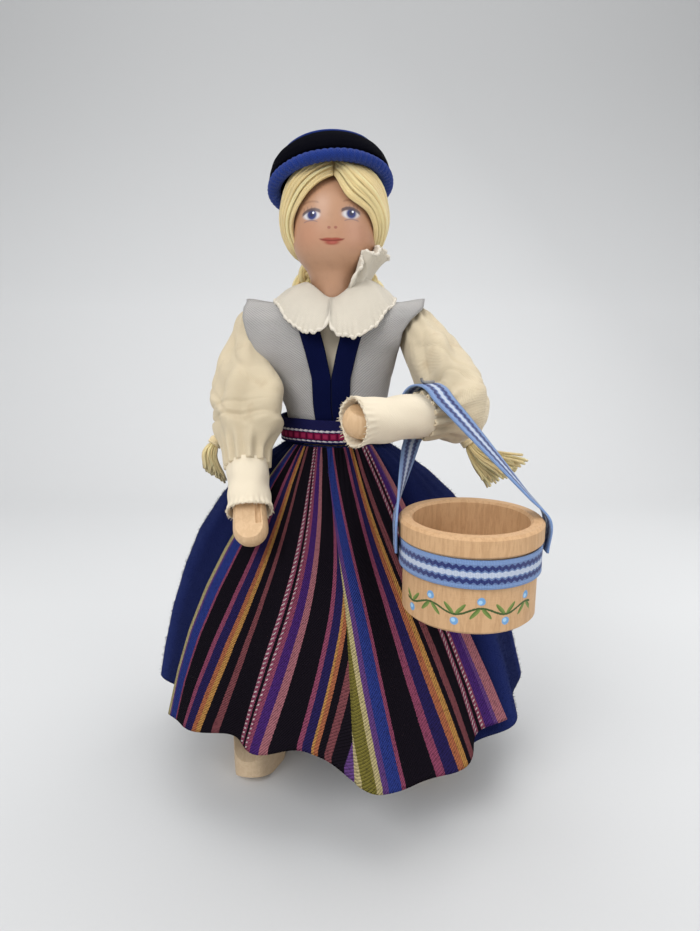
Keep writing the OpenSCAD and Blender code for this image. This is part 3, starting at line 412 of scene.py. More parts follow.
# Painted face, laid on the turned head by its height and width in millimetres
face = {"eyes": ((-5.6, 151.6), (4.2, 151.8)), "mouth": (-0.5, 145.5), "nose": ((-1.2, 148.5), (0.45, 148.5)),
        "cheeks": ((-6.6, 147.2), (5.4, 147.2)), "lashes": (-1.5, -0.6, 0.4, 1.3),
        "skin": (0.47, 0.26, 0.155), "flush": (0.55, 0.20, 0.13), "lips": (0.31, 0.038, 0.024),
        "parting": (0.155, 0.019, 0.012), "shine": (0.50, 0.13, 0.10), "nostril": (0.30, 0.10, 0.07),
        "lid": (0.42, 0.25, 0.19), "white": (0.62, 0.60, 0.62), "iris": (0.012, 0.022, 0.14),
        "pupil": (0.012, 0.012, 0.05), "glint": (0.9, 0.92, 0.98), "liner": (0.06, 0.04, 0.05),
        "under": (0.12, 0.09, 0.12), "lash": (0.07, 0.05, 0.06), "brow": (0.27, 0.14, 0.08)}


def paintFace():
    f = Finish("facePaint", Specular_IOR_Level=0.4, Coat_Weight=0.12, Coat_Roughness=0.3)
    spot = f.place()
    x, y, z = f.axes(spot)
    front = y.step(-2.0, -5.0)
    patch, speck = f.noise(spot, 0.35, 4), f.noise(spot, 3.2, 2)
    colour = f.mix(face["skin"], toned(face["skin"], 0.86), patch.step(0.42, 0.75) * 0.6)
    colour = f.mix(colour, toned(face["skin"], 0.9), speck.step(0.56, 0.7) * 0.35)

    def oval(cx, cz, rx, rz, soft):  # 1 inside
        dx, dz = (x - cx) / rx, (z - cz) / rz
        return (dx * dx + dz * dz).root().step(1 + soft, 1 - soft) * front

    def arc(cx, cz, half, lift, thick, tilt=0.0):  # a brush line bowed upwards
        dx = (x - cx) / half
        line = cz + lift * (1 - dx * dx) + dx * tilt
        return abs(z - line).step(thick, thick * 0.35) * abs(dx).step(1.05, 0.8) * front

    strokes = [("flush", oval(cx, cz, 4.2, 3.2, 0.9), 0.22) for cx, cz in face["cheeks"]]
    for cx, cz in face["eyes"]:
        out = -1 if cx < 0 else 1
        strokes += [("lid", oval(cx, cz + 0.15, 2.7, 1.75, 0.35), 0.45),
                    ("white", oval(cx, cz - 0.1, 2.05, 1.05, 0.3), 1),
                    ("iris", oval(cx + 0.15, cz + 0.05, 1.2, 1.2, 0.3), 1),
                    ("pupil", oval(cx + 0.15, cz + 0.15, 0.55, 0.62, 0.3), 1),
                    ("glint", oval(cx + 0.5, cz + 0.5, 0.26, 0.26, 0.35), 1),
                    ("liner", arc(cx, cz + 0.3, 2.5, 0.95, 0.6, out * -0.3), 0.85),
                    ("under", arc(cx + out * 0.2, cz - 1.75, 1.9, 0.45, 0.22), 0.5)]
        strokes += [("lash", oval(cx + k + out * 0.35, cz + 1.75 - 0.18 * k * k, 0.16, 0.45, 0.6), 0.3)
                    for k in face["lashes"]]
        strokes += [("brow", arc(cx + out * 0.1, cz + 2.75, 2.1, 0.5, 0.36, out * -0.1), 0.6)]
    strokes += [("nostril", oval(cx, cz, 0.42, 0.34, 0.4), 0.85) for cx, cz in face["nose"]]
    mx, mz = face["mouth"]
    upper = oval(mx - 0.95, mz + 0.14, 1.75, 0.46, 0.4).high(oval(mx + 0.95, mz + 0.14, 1.75, 0.46, 0.4))
    strokes += [("lips", oval(mx, mz - 0.42, 1.75, 0.66, 0.45).high(upper), 0.85),
                ("parting", arc(mx, mz + 0.42, 3.3, -0.5, 0.24), 0.75),
                ("shine", oval(mx + 0.2, mz - 0.5, 0.9, 0.25, 0.7), 0.5)]
    for paint, mask, strength in strokes:
        colour = f.mix(colour, face[paint], mask * strength)
    f.set("Roughness", patch * 0.16 + 0.34)
    return f.coat(colour, speck + patch, 0.00006, 0.3)


def finishNodes(finish, *names):
    for n in names:
        mesh = frame["nodes"][n].data
        mesh.materials.clear()
        mesh.materials.append(finish.mat)


finishNodes(beech, "torso", "shoulder_peg", "hip_peg", *[s + "_" + p for s in ("right", "left") for p in
            ("upper_arm", "elbow_pin", "forearm", "thigh", "knee_pin", "shin")])
finishNodes(wire, "handle_pin")
finishNodes(clogWood, "right_clog", "left_clog")
print("face painted, wood finished")

headZ, waistZ, neckZ = 151.712, 97.212, 131.212
sides = {"right": -1, "left": 1}
dice = np.random.default_rng(7)


# Hair: locks combed from the centre parting, round the face and the back of the head, to the nape
hairCare = {"radius": 14.1, "close": 12.35, "locks": 40, "lockRadius": 0.78, "steps": 26, "partFrom": 47, "partTo": 205}
hairWays = {-1: [(0.41, -0.75, 0.52), (0.70, -0.67, 0.25), (0.88, -0.42, -0.16), (0.72, -0.1, -0.69)],
            1: [(0.27, -0.90, 0.35), (0.70, -0.70, 0.06), (0.85, -0.45, -0.27), (0.72, -0.1, -0.69)],
            "ear": [(0.52, 0.10, 0.85), (0.90, 0.24, 0.34), (0.86, 0.42, -0.20), (0.62, 0.58, -0.52)],
            "back": [(0.10, 0.98, -0.10), (0.18, 0.95, -0.24), (0.26, 0.88, -0.38), (0.34, 0.78, -0.52)]}
napeWay = np.array([0.42, 0.64, -0.64])


def hairLine(side, s, lift=0.0, stray=0.0):
    theta = math.radians(mix(hairCare["partFrom"], hairCare["partTo"], s))
    radius = mix(hairCare["close"], hairCare["radius"], float(ease(s / 0.2))) + lift
    front, ear, back = (np.array(hairWays[k]) for k in (side, "ear", "back"))
    ways = mix(front, ear, s / 0.5) if s < 0.5 else mix(ear, back, (s - 0.5) / 0.5)
    ways = ways * [side, 1, 1] + stray * np.array([0.3 * side, 0, 1])
    knots = [(side * 0.006, -math.cos(theta), math.sin(theta)), *unit(ways), unit(napeWay * [side, 1, 1])]
    way = unit(softPath(knots, hairCare["steps"]))
    return way * radius * (1 + 0.07 * ease((way[..., 2:3] - 0.2) / 0.5)) + [0, 0, headZ]


headTurn = np.array([(0.02, 131.2), (5.9, 131.2), (6.3, 131.6), (6.3, 134), (6.5, 136), (7.1, 138), (7.95, 139.4),
                     (9.2, 141), (10.35, 143), (11.0, 145), (11.2, 147), (11.22, 149), (11.1, 151.7), (10.55, 155),
                     (9.3, 158), (7.3, 160.4), (4.6, 162), (2.2, 162.6), (0.02, 162.75)])
rise, fine = np.linspace(0, 1, len(headTurn)), np.linspace(0, 1, 90)
profile = np.stack([smoothRead(rise, headTurn[:, k], fine) for k in range(2)], axis=1)
head = Bundle()
head.grid(polar(profile[:, :1], ring(128), profile[:, 1:]), wrap=True, flip=True)
dress(head.build("paintedHead", paintFace()), "doll", "face_paint", "head")

hair = Bundle()
for side in sides.values():
    sheet = np.array([hairLine(side, s, -0.55) for s in np.linspace(0, 1, 36)])
    hair.grid(sheet, tint=0.3, flip=side > 0)
    for k in range(hairCare["locks"]):
        s = np.clip((k + dice.uniform(-0.3, 0.3)) / (hairCare["locks"] - 1), 0, 1)
        line = hairLine(side, s, dice.uniform(-0.45, 0.05), dice.uniform(-0.02, 0.02))
        swell = 0.45 + 0.55 * np.sin(np.linspace(0.25, 2.7, len(line)))
        hair.tube(line, hairCare["lockRadius"] * swell * dice.uniform(0.75, 1.15), 7, dice.uniform(0, 1),
                  up=unit(line - [0, 0, headZ]), squash=0.6)
dress(hair.build("combedHair", floss), "doll", "hair_floss", "hair")

# Plaits: three strands crossing, a thread tie and a loose tuft
plaitCare = {"half": 1.3, "deep": 0.8, "core": 0.8184, "turns": 4.6, "hairs": 120, "up": (0.1, 1, 0.2),
             "spread": {"right": 0.92, "left": 1.0}, "tuftLen": {"right": 11.0, "left": 15.5},
             "tuftWay": {"right": (-0.1, 0.25, -1.0), "left": (0.78, -0.05, -0.6)},
             "tuftEnd": {"right": 4.5, "left": 8.5}, "nape": (13.2, 19.0),
             "falls": [(0.26, 0.285, 0.38), (0.4, 0.29, 0.6), (0.53, 0.265, 0.82), (0.63, 0.22, 1), (0.7, 0.17, 1.1)]}
crownAt, plaitDrop = np.array([0, 0, headZ]), headZ - waistZ
for name, side in sides.items():
    nape = [napeWay * [side, 1, 1] * d + crownAt for d in plaitCare["nape"]]
    falls = np.array(plaitCare["falls"]) * [side * plaitCare["spread"][name], 1, -1] * plaitDrop + crownAt
    line = softPath([*nape, *falls], 120)
    way = unit(np.gradient(line, axis=0))
    across = unit(np.cross(way, [0, 1, 0.25]))
    outward = np.cross(across, way)
    t = np.linspace(0, 1, len(line))
    slim = 1 - 0.18 * t
    plait = Bundle()
    for k in range(3):
        phase = tau * (plaitCare["turns"] * t + k / 3)[:, None]
        sway = plaitCare["half"] * np.sin(phase) * across + plaitCare["deep"] * np.sin(2 * phase) * outward
        core = line + slim[:, None] * sway
        for j in range(5):  # each strand is a twist of floss
            body = core + slim[:, None] * 0.62 * spin(tau * (j / 5 + 2.5 * t), across, outward)
            plait.tube(body, 0.66 * slim, 6, dice.uniform(0, 1), plaitCare["up"], taper=False)
        plait.tube(core, plaitCare["core"] * slim, 6, 0.2, plaitCare["up"])
    dress(plait.build(name + "PlaitStrands", floss), "doll", "hair_floss", name + "_plait")
    end, endWay, endTurn = line[-1], way[-1], (across[-1], outward[-1])
    a = np.linspace(0, tau * 4, 90)
    tie = Bundle()
    tie.tube(end + endWay * (0.1 + 1.9 * a / a[-1])[:, None] + 1.75 * spin(a, *endTurn), 0.38, 6, up=endWay)
    tie.tube([end + endWay * d for d in np.linspace(-0.6, 2.6, 8)], 1.6, 12, 0.2, plaitCare["up"])
    dress(tie.build(name + "PlaitThread", threadTie), "doll", "tie_thread", name + "_plait_tie")
    tuftWay = unit(plaitCare["tuftWay"][name])
    u = np.append(np.linspace(0, 0.985, 8), 1)[:, None]  # cut ends stay blunt
    tuft = Bundle()
    for k in range(plaitCare["hairs"]):
        r, a = math.sqrt(dice.uniform(0, 1)), dice.uniform(0, tau)
        root = end + endWay * 1.6 + 1.25 * r * spin(a, *endTurn)
        length = plaitCare["tuftLen"][name] * dice.uniform(0.78, 1.02)
        fan = plaitCare["tuftEnd"][name] * r * spin(a, across[-1], 0.5 * outward[-1])
        body = root + length * u * mix(endWay, tuftWay, ease(u)) + fan * u ** 1.4 * 0.8
        body += 0.35 * np.sin(u * 5 + a) * u * across[-1]
        tuft.tube(body, 0.46 * (1 - 0.2 * u[:, 0]), 5, dice.uniform(0.45, 1), plaitCare["up"])
    dress(tuft.build(name + "PlaitTuft", floss), "doll", "hair_floss", name + "_plait_tuft")
print("hair and plaits made")

# Cap: ribbed knitted roll, velvet band, felted crown
cap = {"tilt": 20, "roll": 5, "shift": -0.32, "crown": 15.0, "bandR": 16.0, "bandH": 4.6, "rollR": 1.35, "rollIn": 1.8,
       "ribs": 62, "steps": 96, "waves": 5}


def onHead(points):
    x, up = turnPair(points[..., 0], points[..., 2], cap["roll"])
    y, z = turnPair(points[..., 1], up, -cap["tilt"])
    return np.stack([x + cap["shift"], y, z + headZ], axis=-1)


def capPiece(name, profile, finish, wobble, slot, node):  # turned from its profile of (radius, height)
    profile, a = np.array(profile, float), ring(cap["steps"])
    h = profile[:, 1:]
    r = profile[:, :1] * (1 + wobble * np.sin(cap["waves"] * a + h))
    around = np.linspace(0, tau * cap["bandR"], cap["steps"] + 1)
    piece = Bundle()
    piece.grid(onHead(polar(r, a, h)), uvGrid(around, runUp(stepSizes(profile))), wrap=True)
    dress(piece.build(name, finish), "doll", slot, node)


top, low = cap["crown"] + 1.9, cap["crown"] - cap["bandH"]
crownProfile = [(0.02, top + 2.3), (3, top + 2.26), (6, top + 2.05), (8.5, top + 1.7), (10.6, top + 1.2),
                (12, top + 0.7), (12.7, top + 0.3), (12.9, top - 0.05), (12.4, top - 0.3), (9, top - 0.2),
                (0.02, top - 0.2)]
capPiece("capCrown", crownProfile, woolBlue, 0.006, "cap_wool", "hat_crown")
bandProfile = [(11.6, top - 0.5), (12.3, top - 0.15), (13.3, top - 0.6), (14.4, top - 1.6), (15.2, top - 2.8),
               (15.8, top - 4.4), (16.05, low + 0.4), (15.7, low), (14.8, low), (13.6, top - 3), (11.6, top - 0.5)]
capPiece("capBand", bandProfile, velvet, 0.004, "cap_velvet", "hat_band")
a, b = ring(cap["ribs"] * 8)[:, None], ring(16)[None, :]
r = 0.86 + 0.16 * np.abs(np.cos(a * cap["ribs"] / 2 + b * 0.5)) ** 0.6 + 0.02 * np.sin(9 * a)
wide = cap["bandR"] + 0.65 - cap["rollIn"] + cap["rollIn"] * r * np.cos(b)
loop = polar(wide, a, cap["rollR"] * r * np.sin(b)) + [0, 0, low - cap["rollR"] - 0.1]
loop = np.concatenate([loop, loop[:1]])
roll = Bundle()
roll.grid(onHead(loop), uvGrid(np.linspace(0, 10, 17), np.linspace(0, 95, len(loop))), wrap=True)
dress(roll.build("capRoll", woolBlue), "doll", "cap_wool", "hat_roll")
print("cap made")


def clothUv(points):  # millimetres along and across a cloth grid
    return uvGrid(runUp(stepSizes(points, 1).mean(axis=0)), runUp(stepSizes(points).mean(axis=1)))


def closeRing(points):  # repeats the first column, for the cloth map of a closed ring
    return np.concatenate([points, points[:, :1]], axis=1)


def clothPiece(name, finish, points, thick, wrap=False, **look):  # one cloth grid, mapped in millimetres
    piece = Bundle()
    piece.grid(points, clothUv(closeRing(points) if wrap else points), wrap=wrap, **look)
    return piece.build(name, finish, thick)


# Collar: cotton in two rounded lobes that meet under the chin, a fluted frill standing beside it, a puckered hem
collarCut = {"inner": 7.9, "outer": 16.0, "rise": 4.6, "drop": 15.0, "front": -94.5, "dip": 4.2, "round": 30,
             "thick": 0.5, "hem": 0.42, "frillFrom": 29, "frillTo": 118, "frillRise": 12.4, "frillLean": 5.0,
             "flutes": 3}


def collarPoint(a, t):
    q = (np.degrees(a) - collarCut["front"] + 540) % 360 - 180
    near = 1 - np.clip(np.abs(q + 1) / collarCut["round"], 0, 1)
    lobe = np.sqrt(1 - near ** 2) ** 0.8
    side = np.clip(1 - np.abs(np.abs(q) - 118) / 16, 0, 1)
    crimp = 0.2 * np.sin(58 * a + 2 * np.sin(9 * a)) + 0.16 * np.sin(31 * a)
    reach = mix(0.42, 1.0, lobe) * (1 - 0.16 * side)
    r = mix(collarCut["inner"], mix(collarCut["inner"] + 3.2, collarCut["outer"], reach), t) + 0.9 * np.sin(t * math.pi)
    lean = mix(1, 0.3, np.cos(a) ** 2)
    dent = t * (1 - 0.5 * t) * (0.7 * np.sin(9 * a + 0.6) + 0.45 * np.sin(15 * a + 2 + 2 * t)) + crimp * t ** 5
    dip, drop = collarCut["dip"] * bell(q, 0, 34) * (1 - t), collarCut["drop"] * lean * reach * t ** 1.25
    z = neckZ + collarCut["rise"] - dip - drop + dent
    z = z + 0.28 * np.sin(t * 10 + 5 * a) * t * (1 - t) + 1.3 * bell(q, 75, 28) * (1 - t)
    return polar(r + 0.5 * crimp * t ** 5, a, z)


def frillPoint(k, t):
    q = mix(collarCut["frillFrom"], collarCut["frillTo"], k)
    fade = 0.05 + 0.95 * np.clip(np.sin(k * math.pi), 0, 1) ** 0.36
    a = np.radians(q + collarCut["front"]) + 0.09 * np.sin(tau * 2 * k + 0.6) * t
    wave = np.sin(tau * collarCut["flutes"] * k + 0.9 * np.sin(5 * k) + 0.7)
    r = collarCut["inner"] + 0.1 + fade * (collarCut["frillLean"] * (0.45 * t + 0.55 * t * t) + 1.8 * wave * t ** 1.1)
    rise = collarCut["frillRise"] * t - 1.4 * t ** 4 - 0.7 * wave * t + 0.5 * np.sin(tau * 5 * k + 1) * t ** 3
    return polar(r + 0.18 * np.sin(tau * 19 * k) * t ** 4, a, neckZ + 1.8 + fade * rise)


collarGrid = collarPoint(*np.meshgrid(ring(460), np.linspace(0, 1, 26)))
frillGrid = frillPoint(*np.meshgrid(np.linspace(0, 1, 150), np.linspace(0, 1, 22)))
collar, hem = Bundle(), Bundle()
collar.grid(collarGrid, clothUv(closeRing(collarGrid)), wrap=True)
collar.grid(frillGrid, clothUv(frillGrid))
for edge, turns in ((closeRing(collarGrid)[-1], 58), (frillGrid[-1], 22)):
    pucker = 1 + 0.3 * np.sin(np.linspace(0, tau * turns, len(edge)))
    hem.tube(edge, collarCut["hem"] * pucker, 7, 0.3, up=(0.1, 0.2, 1))
collarPiece = collar.build("ruffledCollar", cottonWhite, collarCut["thick"], 0)
dress(collarPiece, "doll", "white_cotton", "collar")
dress(hem.build("collarHem", cottonWhite), "doll", "white_cotton")

# Vest, its braid and the blouse that shows in the opening
vestCut = {"half": 24.0, "deep": 10.6, "low": waistZ - 3.0, "top": neckZ, "bulge": 2.4, "thick": 0.75,
           "braid": (4.5, 5.8), "rows": 44, "cols": 26}
vestAt = [0, 0.24, 0.46, 0.64, 0.78, 0.88, 0.95, 1]
vestTable = {"depth": [0.9, 0.93, 0.97, 1, 0.97, 0.9, 0.68, 0.1],
             "reach": [0.505, 0.585, 0.645, 0.74, 1.4, 1.5, 1.5, 1.5],
             "wing": [0.505, 0.585, 0.72, 1.15, 1.4, 1.5, 1.5, 1.5],
             "right": [0.505, 0.585, 0.70, 0.87, 0.95, 0.985, 0.99, 0.97],
             "left": [0.505, 0.585, 0.645, 0.70, 0.73, 0.84, 0.96, 1],
             "back": [0.505, 0.585, 0.645, 0.63, 0.60, 0.70, 0.90, 1],
             "open": [0.0, 0.0, 0.0, 0.055, 0.11, 0.15, 0.18, 0.2],
             "backIn": [0, 0, 0, 0, 0, 0.2, 0.34, 0.4]}


def vestRead(what, s):
    return np.interp(s, vestAt, vestTable[what])


def vestPoint(x, s, facing, grow=0.0):
    winged = (x < 0) & (facing < 0)
    reach = vestCut["half"] * np.where(winged, vestRead("wing", s), vestRead("reach", s)) + grow
    depth = vestCut["deep"] * vestRead("depth", s) + grow
    y = facing * depth * np.maximum(0, 1 - (np.abs(x) / reach) ** vestCut["bulge"]) ** (1 / vestCut["bulge"])
    y = y - 1.5 * winged * ease((-x - 13) / 6) * ease((s - 0.4) / 0.25) * ease((0.97 - s) / 0.12)
    return np.stack([x, y, mix(vestCut["low"], vestCut["top"], s) + grow * (s > 0.999)], axis=-1)


def vestPanel(side, inner, outer, facing, inset=0.0):
    s, k = np.meshgrid(np.linspace(1, 0, vestCut["rows"]), np.linspace(0, 1, vestCut["cols"]), indexing="ij")
    x = side * mix(vestCut["half"] * vestRead(inner, s) + inset, vestCut["half"] * vestRead(outer, s), k)
    ripple = 0.14 * np.sin(s * 9 + k * 4) * np.sin(k * math.pi) + 0.5 * np.sin(k * 7 + 1) * ease((s - 0.8) / 0.2) * k
    return vestPoint(x, s, facing, ripple)


for name, side in sides.items():
    panel = vestPanel(side, "open", name, -1, 1.6)
    front = clothPiece(name + "VestFront", twillGrey, panel, vestCut["thick"], flip=side < 0)
    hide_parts(name + "_vest_front")
    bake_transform(front)
    s, k = np.meshgrid(np.linspace(0.985, 0.0, 60), np.linspace(0, 1, 23), indexing="ij")
    x = side * (vestCut["half"] * vestRead("open", s) + mix(*vestCut["braid"], s) * k) - 0.9 * ease(s / 0.3)
    rib = 0.62 + 0.22 * (side > 0) + 0.11 * np.abs(np.sin(k * math.pi * 7)) - 0.25 * (np.abs(k - 0.5) > 0.46)
    strip = vestPoint(x, s, -1, rib)
    braid = clothPiece(name + "Braid", braidNavy, strip, 0.5, flip=side < 0)
    dress(braid, "doll", "navy_braid", name + "_vest_trim")
back = Bundle()
backPanels = [vestPanel(side, "backIn", "back", 1) for side in sides.values()]
for side, panel in zip(sides.values(), backPanels):
    back.grid(panel, clothUv(panel), flip=side > 0)
backPiece = back.build("vestBack", twillGrey, vestCut["thick"])
dress(backPiece, "doll", "grey_twill", "vest_back")

blouseCut = {"deep": 7.95, "half": (5.0, 6.5, 7.8, 6.4), "at": (97.3, 108, 125.5, 129.6), "thick": 0.5}
z, k = np.meshgrid(np.linspace(blouseCut["at"][-1], blouseCut["at"][0], 30), np.linspace(-1, 1, 24), indexing="ij")
x = k * np.interp(z, blouseCut["at"], blouseCut["half"])
y = -blouseCut["deep"] - 0.85 * bell(z, 112, 8) - 0.12 * np.sin(x * 1.7 + z * 0.15) - 0.1 * np.sin(z * 0.6 + x)
panel = np.stack([x, y, z], axis=-1)
blousePiece = clothPiece("blouseFront", cottonCream, panel, blouseCut["thick"], tint=1.0)
dress(blousePiece, "doll", "cream_cotton", "blouse_front")
print("collar, vest and blouse made")


# Woven belt: navy borders, a pale line beside each, a magenta figure between them
def beltFinish():
    f = Finish("wovenBelt", Roughness=0.85, Specular_IOR_Level=0.04)
    u, v = f.uv()
    down = v / 6.6
    pick = (u * (tau / 0.42)).sin() * (v * (tau / 0.42)).sin()
    twist = ((u + v * 1.4) / 1.5).fract()
    colour = f.mix((0.008, 0.008, 0.045), (0.02, 0.02, 0.10), pick * 0.5 + 0.5)
    block = abs((u / 2.1).fract() - 0.5)
    figure = down.between(0.52, 0.80, 0.015)
    heart = block.step(0.36, 0.22) * abs(down - 0.66).step(0.12, 0.05)
    magenta = f.mix((0.20, 0.008, 0.05), (0.40, 0.03, 0.10), heart)
    colour = f.mix(colour, f.mix(magenta, (0.05, 0.004, 0.02), block.step(0.42, 0.48)), figure)
    for line, half in ((0.435, 0.045), (0.845, 0.03)):
        mask = abs(down - line - twist * 0.03).step(half, half * 0.6)
        colour = f.mix(colour, f.mix((0.78, 0.74, 0.76), (0.42, 0.38, 0.48), twist.step(0.55, 0.9)), mask)
    return f.coat(colour, pick + figure * 0.6, 0.0002)


belt = {"halfW": 14.55, "halfD": 10.98, "low": 93.95, "high": 100.45, "thick": 0.75}
a, rows = ring(260), np.linspace(1, 0, 13)[:, None]
slack = 0.10 * np.sin(7 * a + 3 * rows) + 0.16 * np.sin(rows * math.pi) + belt["thick"]
beltGrid = np.stack([(belt["halfW"] + slack) * np.cos(a), (belt["halfD"] + slack) * np.sin(a),
                     mix(belt["low"], belt["high"], rows) + 0.08 * np.sin(5 * a)], axis=-1)
dress(clothPiece("wovenBelt", beltFinish(), beltGrid, belt["thick"], wrap=True), "doll", "woven_belt", "belt")
print("belt woven")

# Arms' frames, as the wooden arms are set
armSet = {"right": {"swing": 21, "splay": 4.5, "bend": 22, "turn": 30},
          "left": {"swing": 43, "splay": 16.5, "bend": 83.5, "turn": 66.5}}
upperLen, cuffStart, cuffLen = 29.5, 9.5, 13.0


def armTurn(name, p):
    x, z = turnPair(p[..., 0], p[..., 2], sides[name] * armSet[name]["splay"])
    y, z = turnPair(p[..., 1], z, -armSet[name]["swing"])
    return np.stack([x, y, z], axis=-1)


def foreWay(name):
    t, b = math.radians(armSet[name]["turn"]), math.radians(armSet[name]["bend"])
    return np.array([-sides[name] * math.sin(t) * math.sin(b), -math.cos(t) * math.sin(b), -math.cos(b)])


def pinWay(name):
    t = math.radians(armSet[name]["turn"])
    return np.array([math.cos(t), -sides[name] * math.sin(t), 0])


# Sleeves: puffed cotton, gathered at the shoulder and into the cuff, creased at the elbow
sleeveCut = {"r": 9.3, "arm": 5.15, "rows": 96, "cols": 132, "cap": 5.4, "thick": 0.5,
             "shares": [0.1, 0.2, 0.5, 0.85, 1, 1, 0.85, 0.5, 0.14, 0], "bulge": {"right": 6.2, "left": 0.6},
             "blend": {"right": ((6, 0), (0, 8)), "left": ((9, -3), (1, 4))}}  # up the arm, along the forearm


def sleeveGrid(name):
    side, fore, pin, size = sides[name], foreWay(name), pinWay(name), sleeveCut["r"]
    top, start, elbow = (np.array([0, 0, z]) for z in (sleeveCut["cap"], size - upperLen, -upperLen))
    end = elbow + (cuffStart + 0.6) * fore
    t = np.linspace(0, 1, sleeveCut["rows"])[:, None]
    s = np.clip((t - 0.5) / 0.5, 0, 1)
    line = np.where(t < 0.5, mix(top, start, t / 0.5), (1 - s) ** 2 * start + 2 * s * (1 - s) * elbow + s * s * end)
    way = unit(np.gradient(line, axis=0))
    a = ring(sleeveCut["cols"])[None, :]
    d = spin(a, pin, np.cross(pin, way)[:, None])
    puff = np.clip(smoothRead(np.linspace(0, 1, 10), sleeveCut["shares"], t), 0, 1.02)
    r = mix(mix(5.1, 5.55, t), size, puff)
    facing = d @ (np.array([0, 0, -1]) - fore)
    near = lambda place, sharp: ease(np.clip(1.6 - np.abs(t - place) * sharp, 0, 1))
    gather = 0.45 * np.sin(13 * a + 2 * np.sin(a)) * ease(1 - t / 0.42)
    gather = gather + 0.6 * np.sin(13 * a + 1.3 * np.sin(2 * a)) * ease((t - 0.7) / 0.2)
    drape = 0.7 * (np.cos(6 * a + 5 * t) + 0.7 * np.sin(4 * a - 9 * t))
    drape = drape + 0.45 * np.sin(24 * t + 2.6 * np.sin(a) + 1.5 * np.sin(3 * a))
    crease = 0.6 * (1 - np.abs(np.sin(2 * a + 10 * t + 1.4 * np.sin(3 * a + 3)))) ** 4
    crease = crease + 0.6 * (1 - np.abs(np.sin(1.5 * np.cos(a) - 9 * t + 1.1 * np.sin(2 * a)))) ** 5
    pinch = near(0.62, 7) * np.clip(-facing, 0, 1) * np.sin(np.clip((t - 0.5) / 0.3, 0, 1) * math.pi * 3)
    bow = 0.3 * np.maximum(0, facing) * near(0.68, 8) - 0.3 * np.maximum(0, -facing) * near(0.62, 6)
    full = r + gather + puff * (drape - crease) + pinch + size * bow
    closing = np.sqrt(np.clip(1 - (1 - np.clip(t / 0.12, 0, 1)) ** 2, 4e-4, 1))  # round over the shoulder
    full = np.maximum(full, np.minimum(r, sleeveCut["arm"])) * closing
    inward = np.maximum(0, -side * d[..., 0]) * ease((0.8 - t) / 0.15)
    reach = full - (full - np.minimum(full, sleeveCut["arm"])) * inward ** 1.5
    puffWay = unit([-side * 0.75, -0.66, 0.0])
    reach = reach + sleeveCut["bulge"][name] * np.maximum(0, d @ puffWay) ** 7 * near(0.6, 5)
    outside = np.clip(0.25 + d @ np.array([side * 0.8, -0.6, 0]), 0, 1)
    groove = 0.75 * bell(t, 0.665, 0.012) + 0.4 * bell(t, 0.585 + 0.02 * np.sin(a), 0.012)
    reach = reach - groove * outside * (side < 0)
    return armTurn(name, line[:, None] + reach[..., None] * d) + jointAt[name + "_shoulder"]


for name in sides:
    points = sleeveGrid(name)
    piece = clothPiece(name + "PuffSleeve", cottonCream, points, sleeveCut["thick"], wrap=True)
    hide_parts(name + "_sleeve")
    elbowAt, fore = jointAt[name + "_elbow"], armTurn(name, foreWay(name))
    upward = unit(jointAt[name + "_shoulder"] - elbowAt)
    start, end = (toRow(elbowAt + up * upward + on * fore) for up, on in sleeveCut["blend"][name])
    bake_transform(piece)

# Cuffs: fitted cotton with a frayed edge at the wrist
cuffCut = {"r": 5.32, "slip": {"right": 0.0, "left": 7.0}, "thick": 0.5, "rows": 40, "cols": 110,
           "fray": 90, "frayLen": 1.5, "frayR": 0.09}
a, t = ring(cuffCut["cols"])[None, :], np.linspace(0, 1, cuffCut["rows"])[:, None]
swell = 0.22 * np.sin(t * 11 + np.sin(a) * 1.6) * np.sin(t * math.pi) + 0.12 * np.sin(5 * a + 6 * t)
r = cuffCut["r"] + swell + 0.5 * ease((t - 0.86) / 0.14) + 0.16 * np.sin(23 * a) * ease((t - 0.75) / 0.25)
u = np.linspace(0, 1, 5)[:, None]
for name in sides:
    fore, pin = armTurn(name, foreWay(name)), armTurn(name, pinWay(name))
    other = np.cross(pin, fore)
    elbowAt = jointAt[name + "_elbow"]
    ends = cuffStart + cuffLen + cuffCut["slip"][name]
    along = mix(cuffStart - 0.2, ends, t) + 0.25 * np.sin(3 * a + 1) * t
    points = elbowAt + along[..., None] * fore + r[..., None] * spin(a, pin, other)
    fray = Bundle()
    for k in range(cuffCut["fray"]):  # loose threads at the raw edge
        way = spin(tau * (k + dice.uniform(-0.4, 0.4)) / cuffCut["fray"], pin, other)
        length, lean = cuffCut["frayLen"] * dice.uniform(0.3, 1), dice.uniform(-0.5, 0.6)
        root = elbowAt + fore * (ends - 0.5) + way * (cuffCut["r"] + 0.35)
        stray = np.cross(way, fore) * dice.uniform(-0.6, 0.6)
        thread = root + u * length * fore + way * lean * u * u + stray * u
        fray.tube(thread, cuffCut["frayR"], 4, 0.6, up=way)
    piece = clothPiece(name + "Cuff", cottonCream, points, cuffCut["thick"], wrap=True, tint=0.9)
    dress(piece, name + "_forearm_set", "cream_cotton", name + "_cuff")
    dress(fray.build(name + "CuffFray", cottonCream), name + "_forearm_set", "cream_cotton")
print("sleeves and cuffs made")


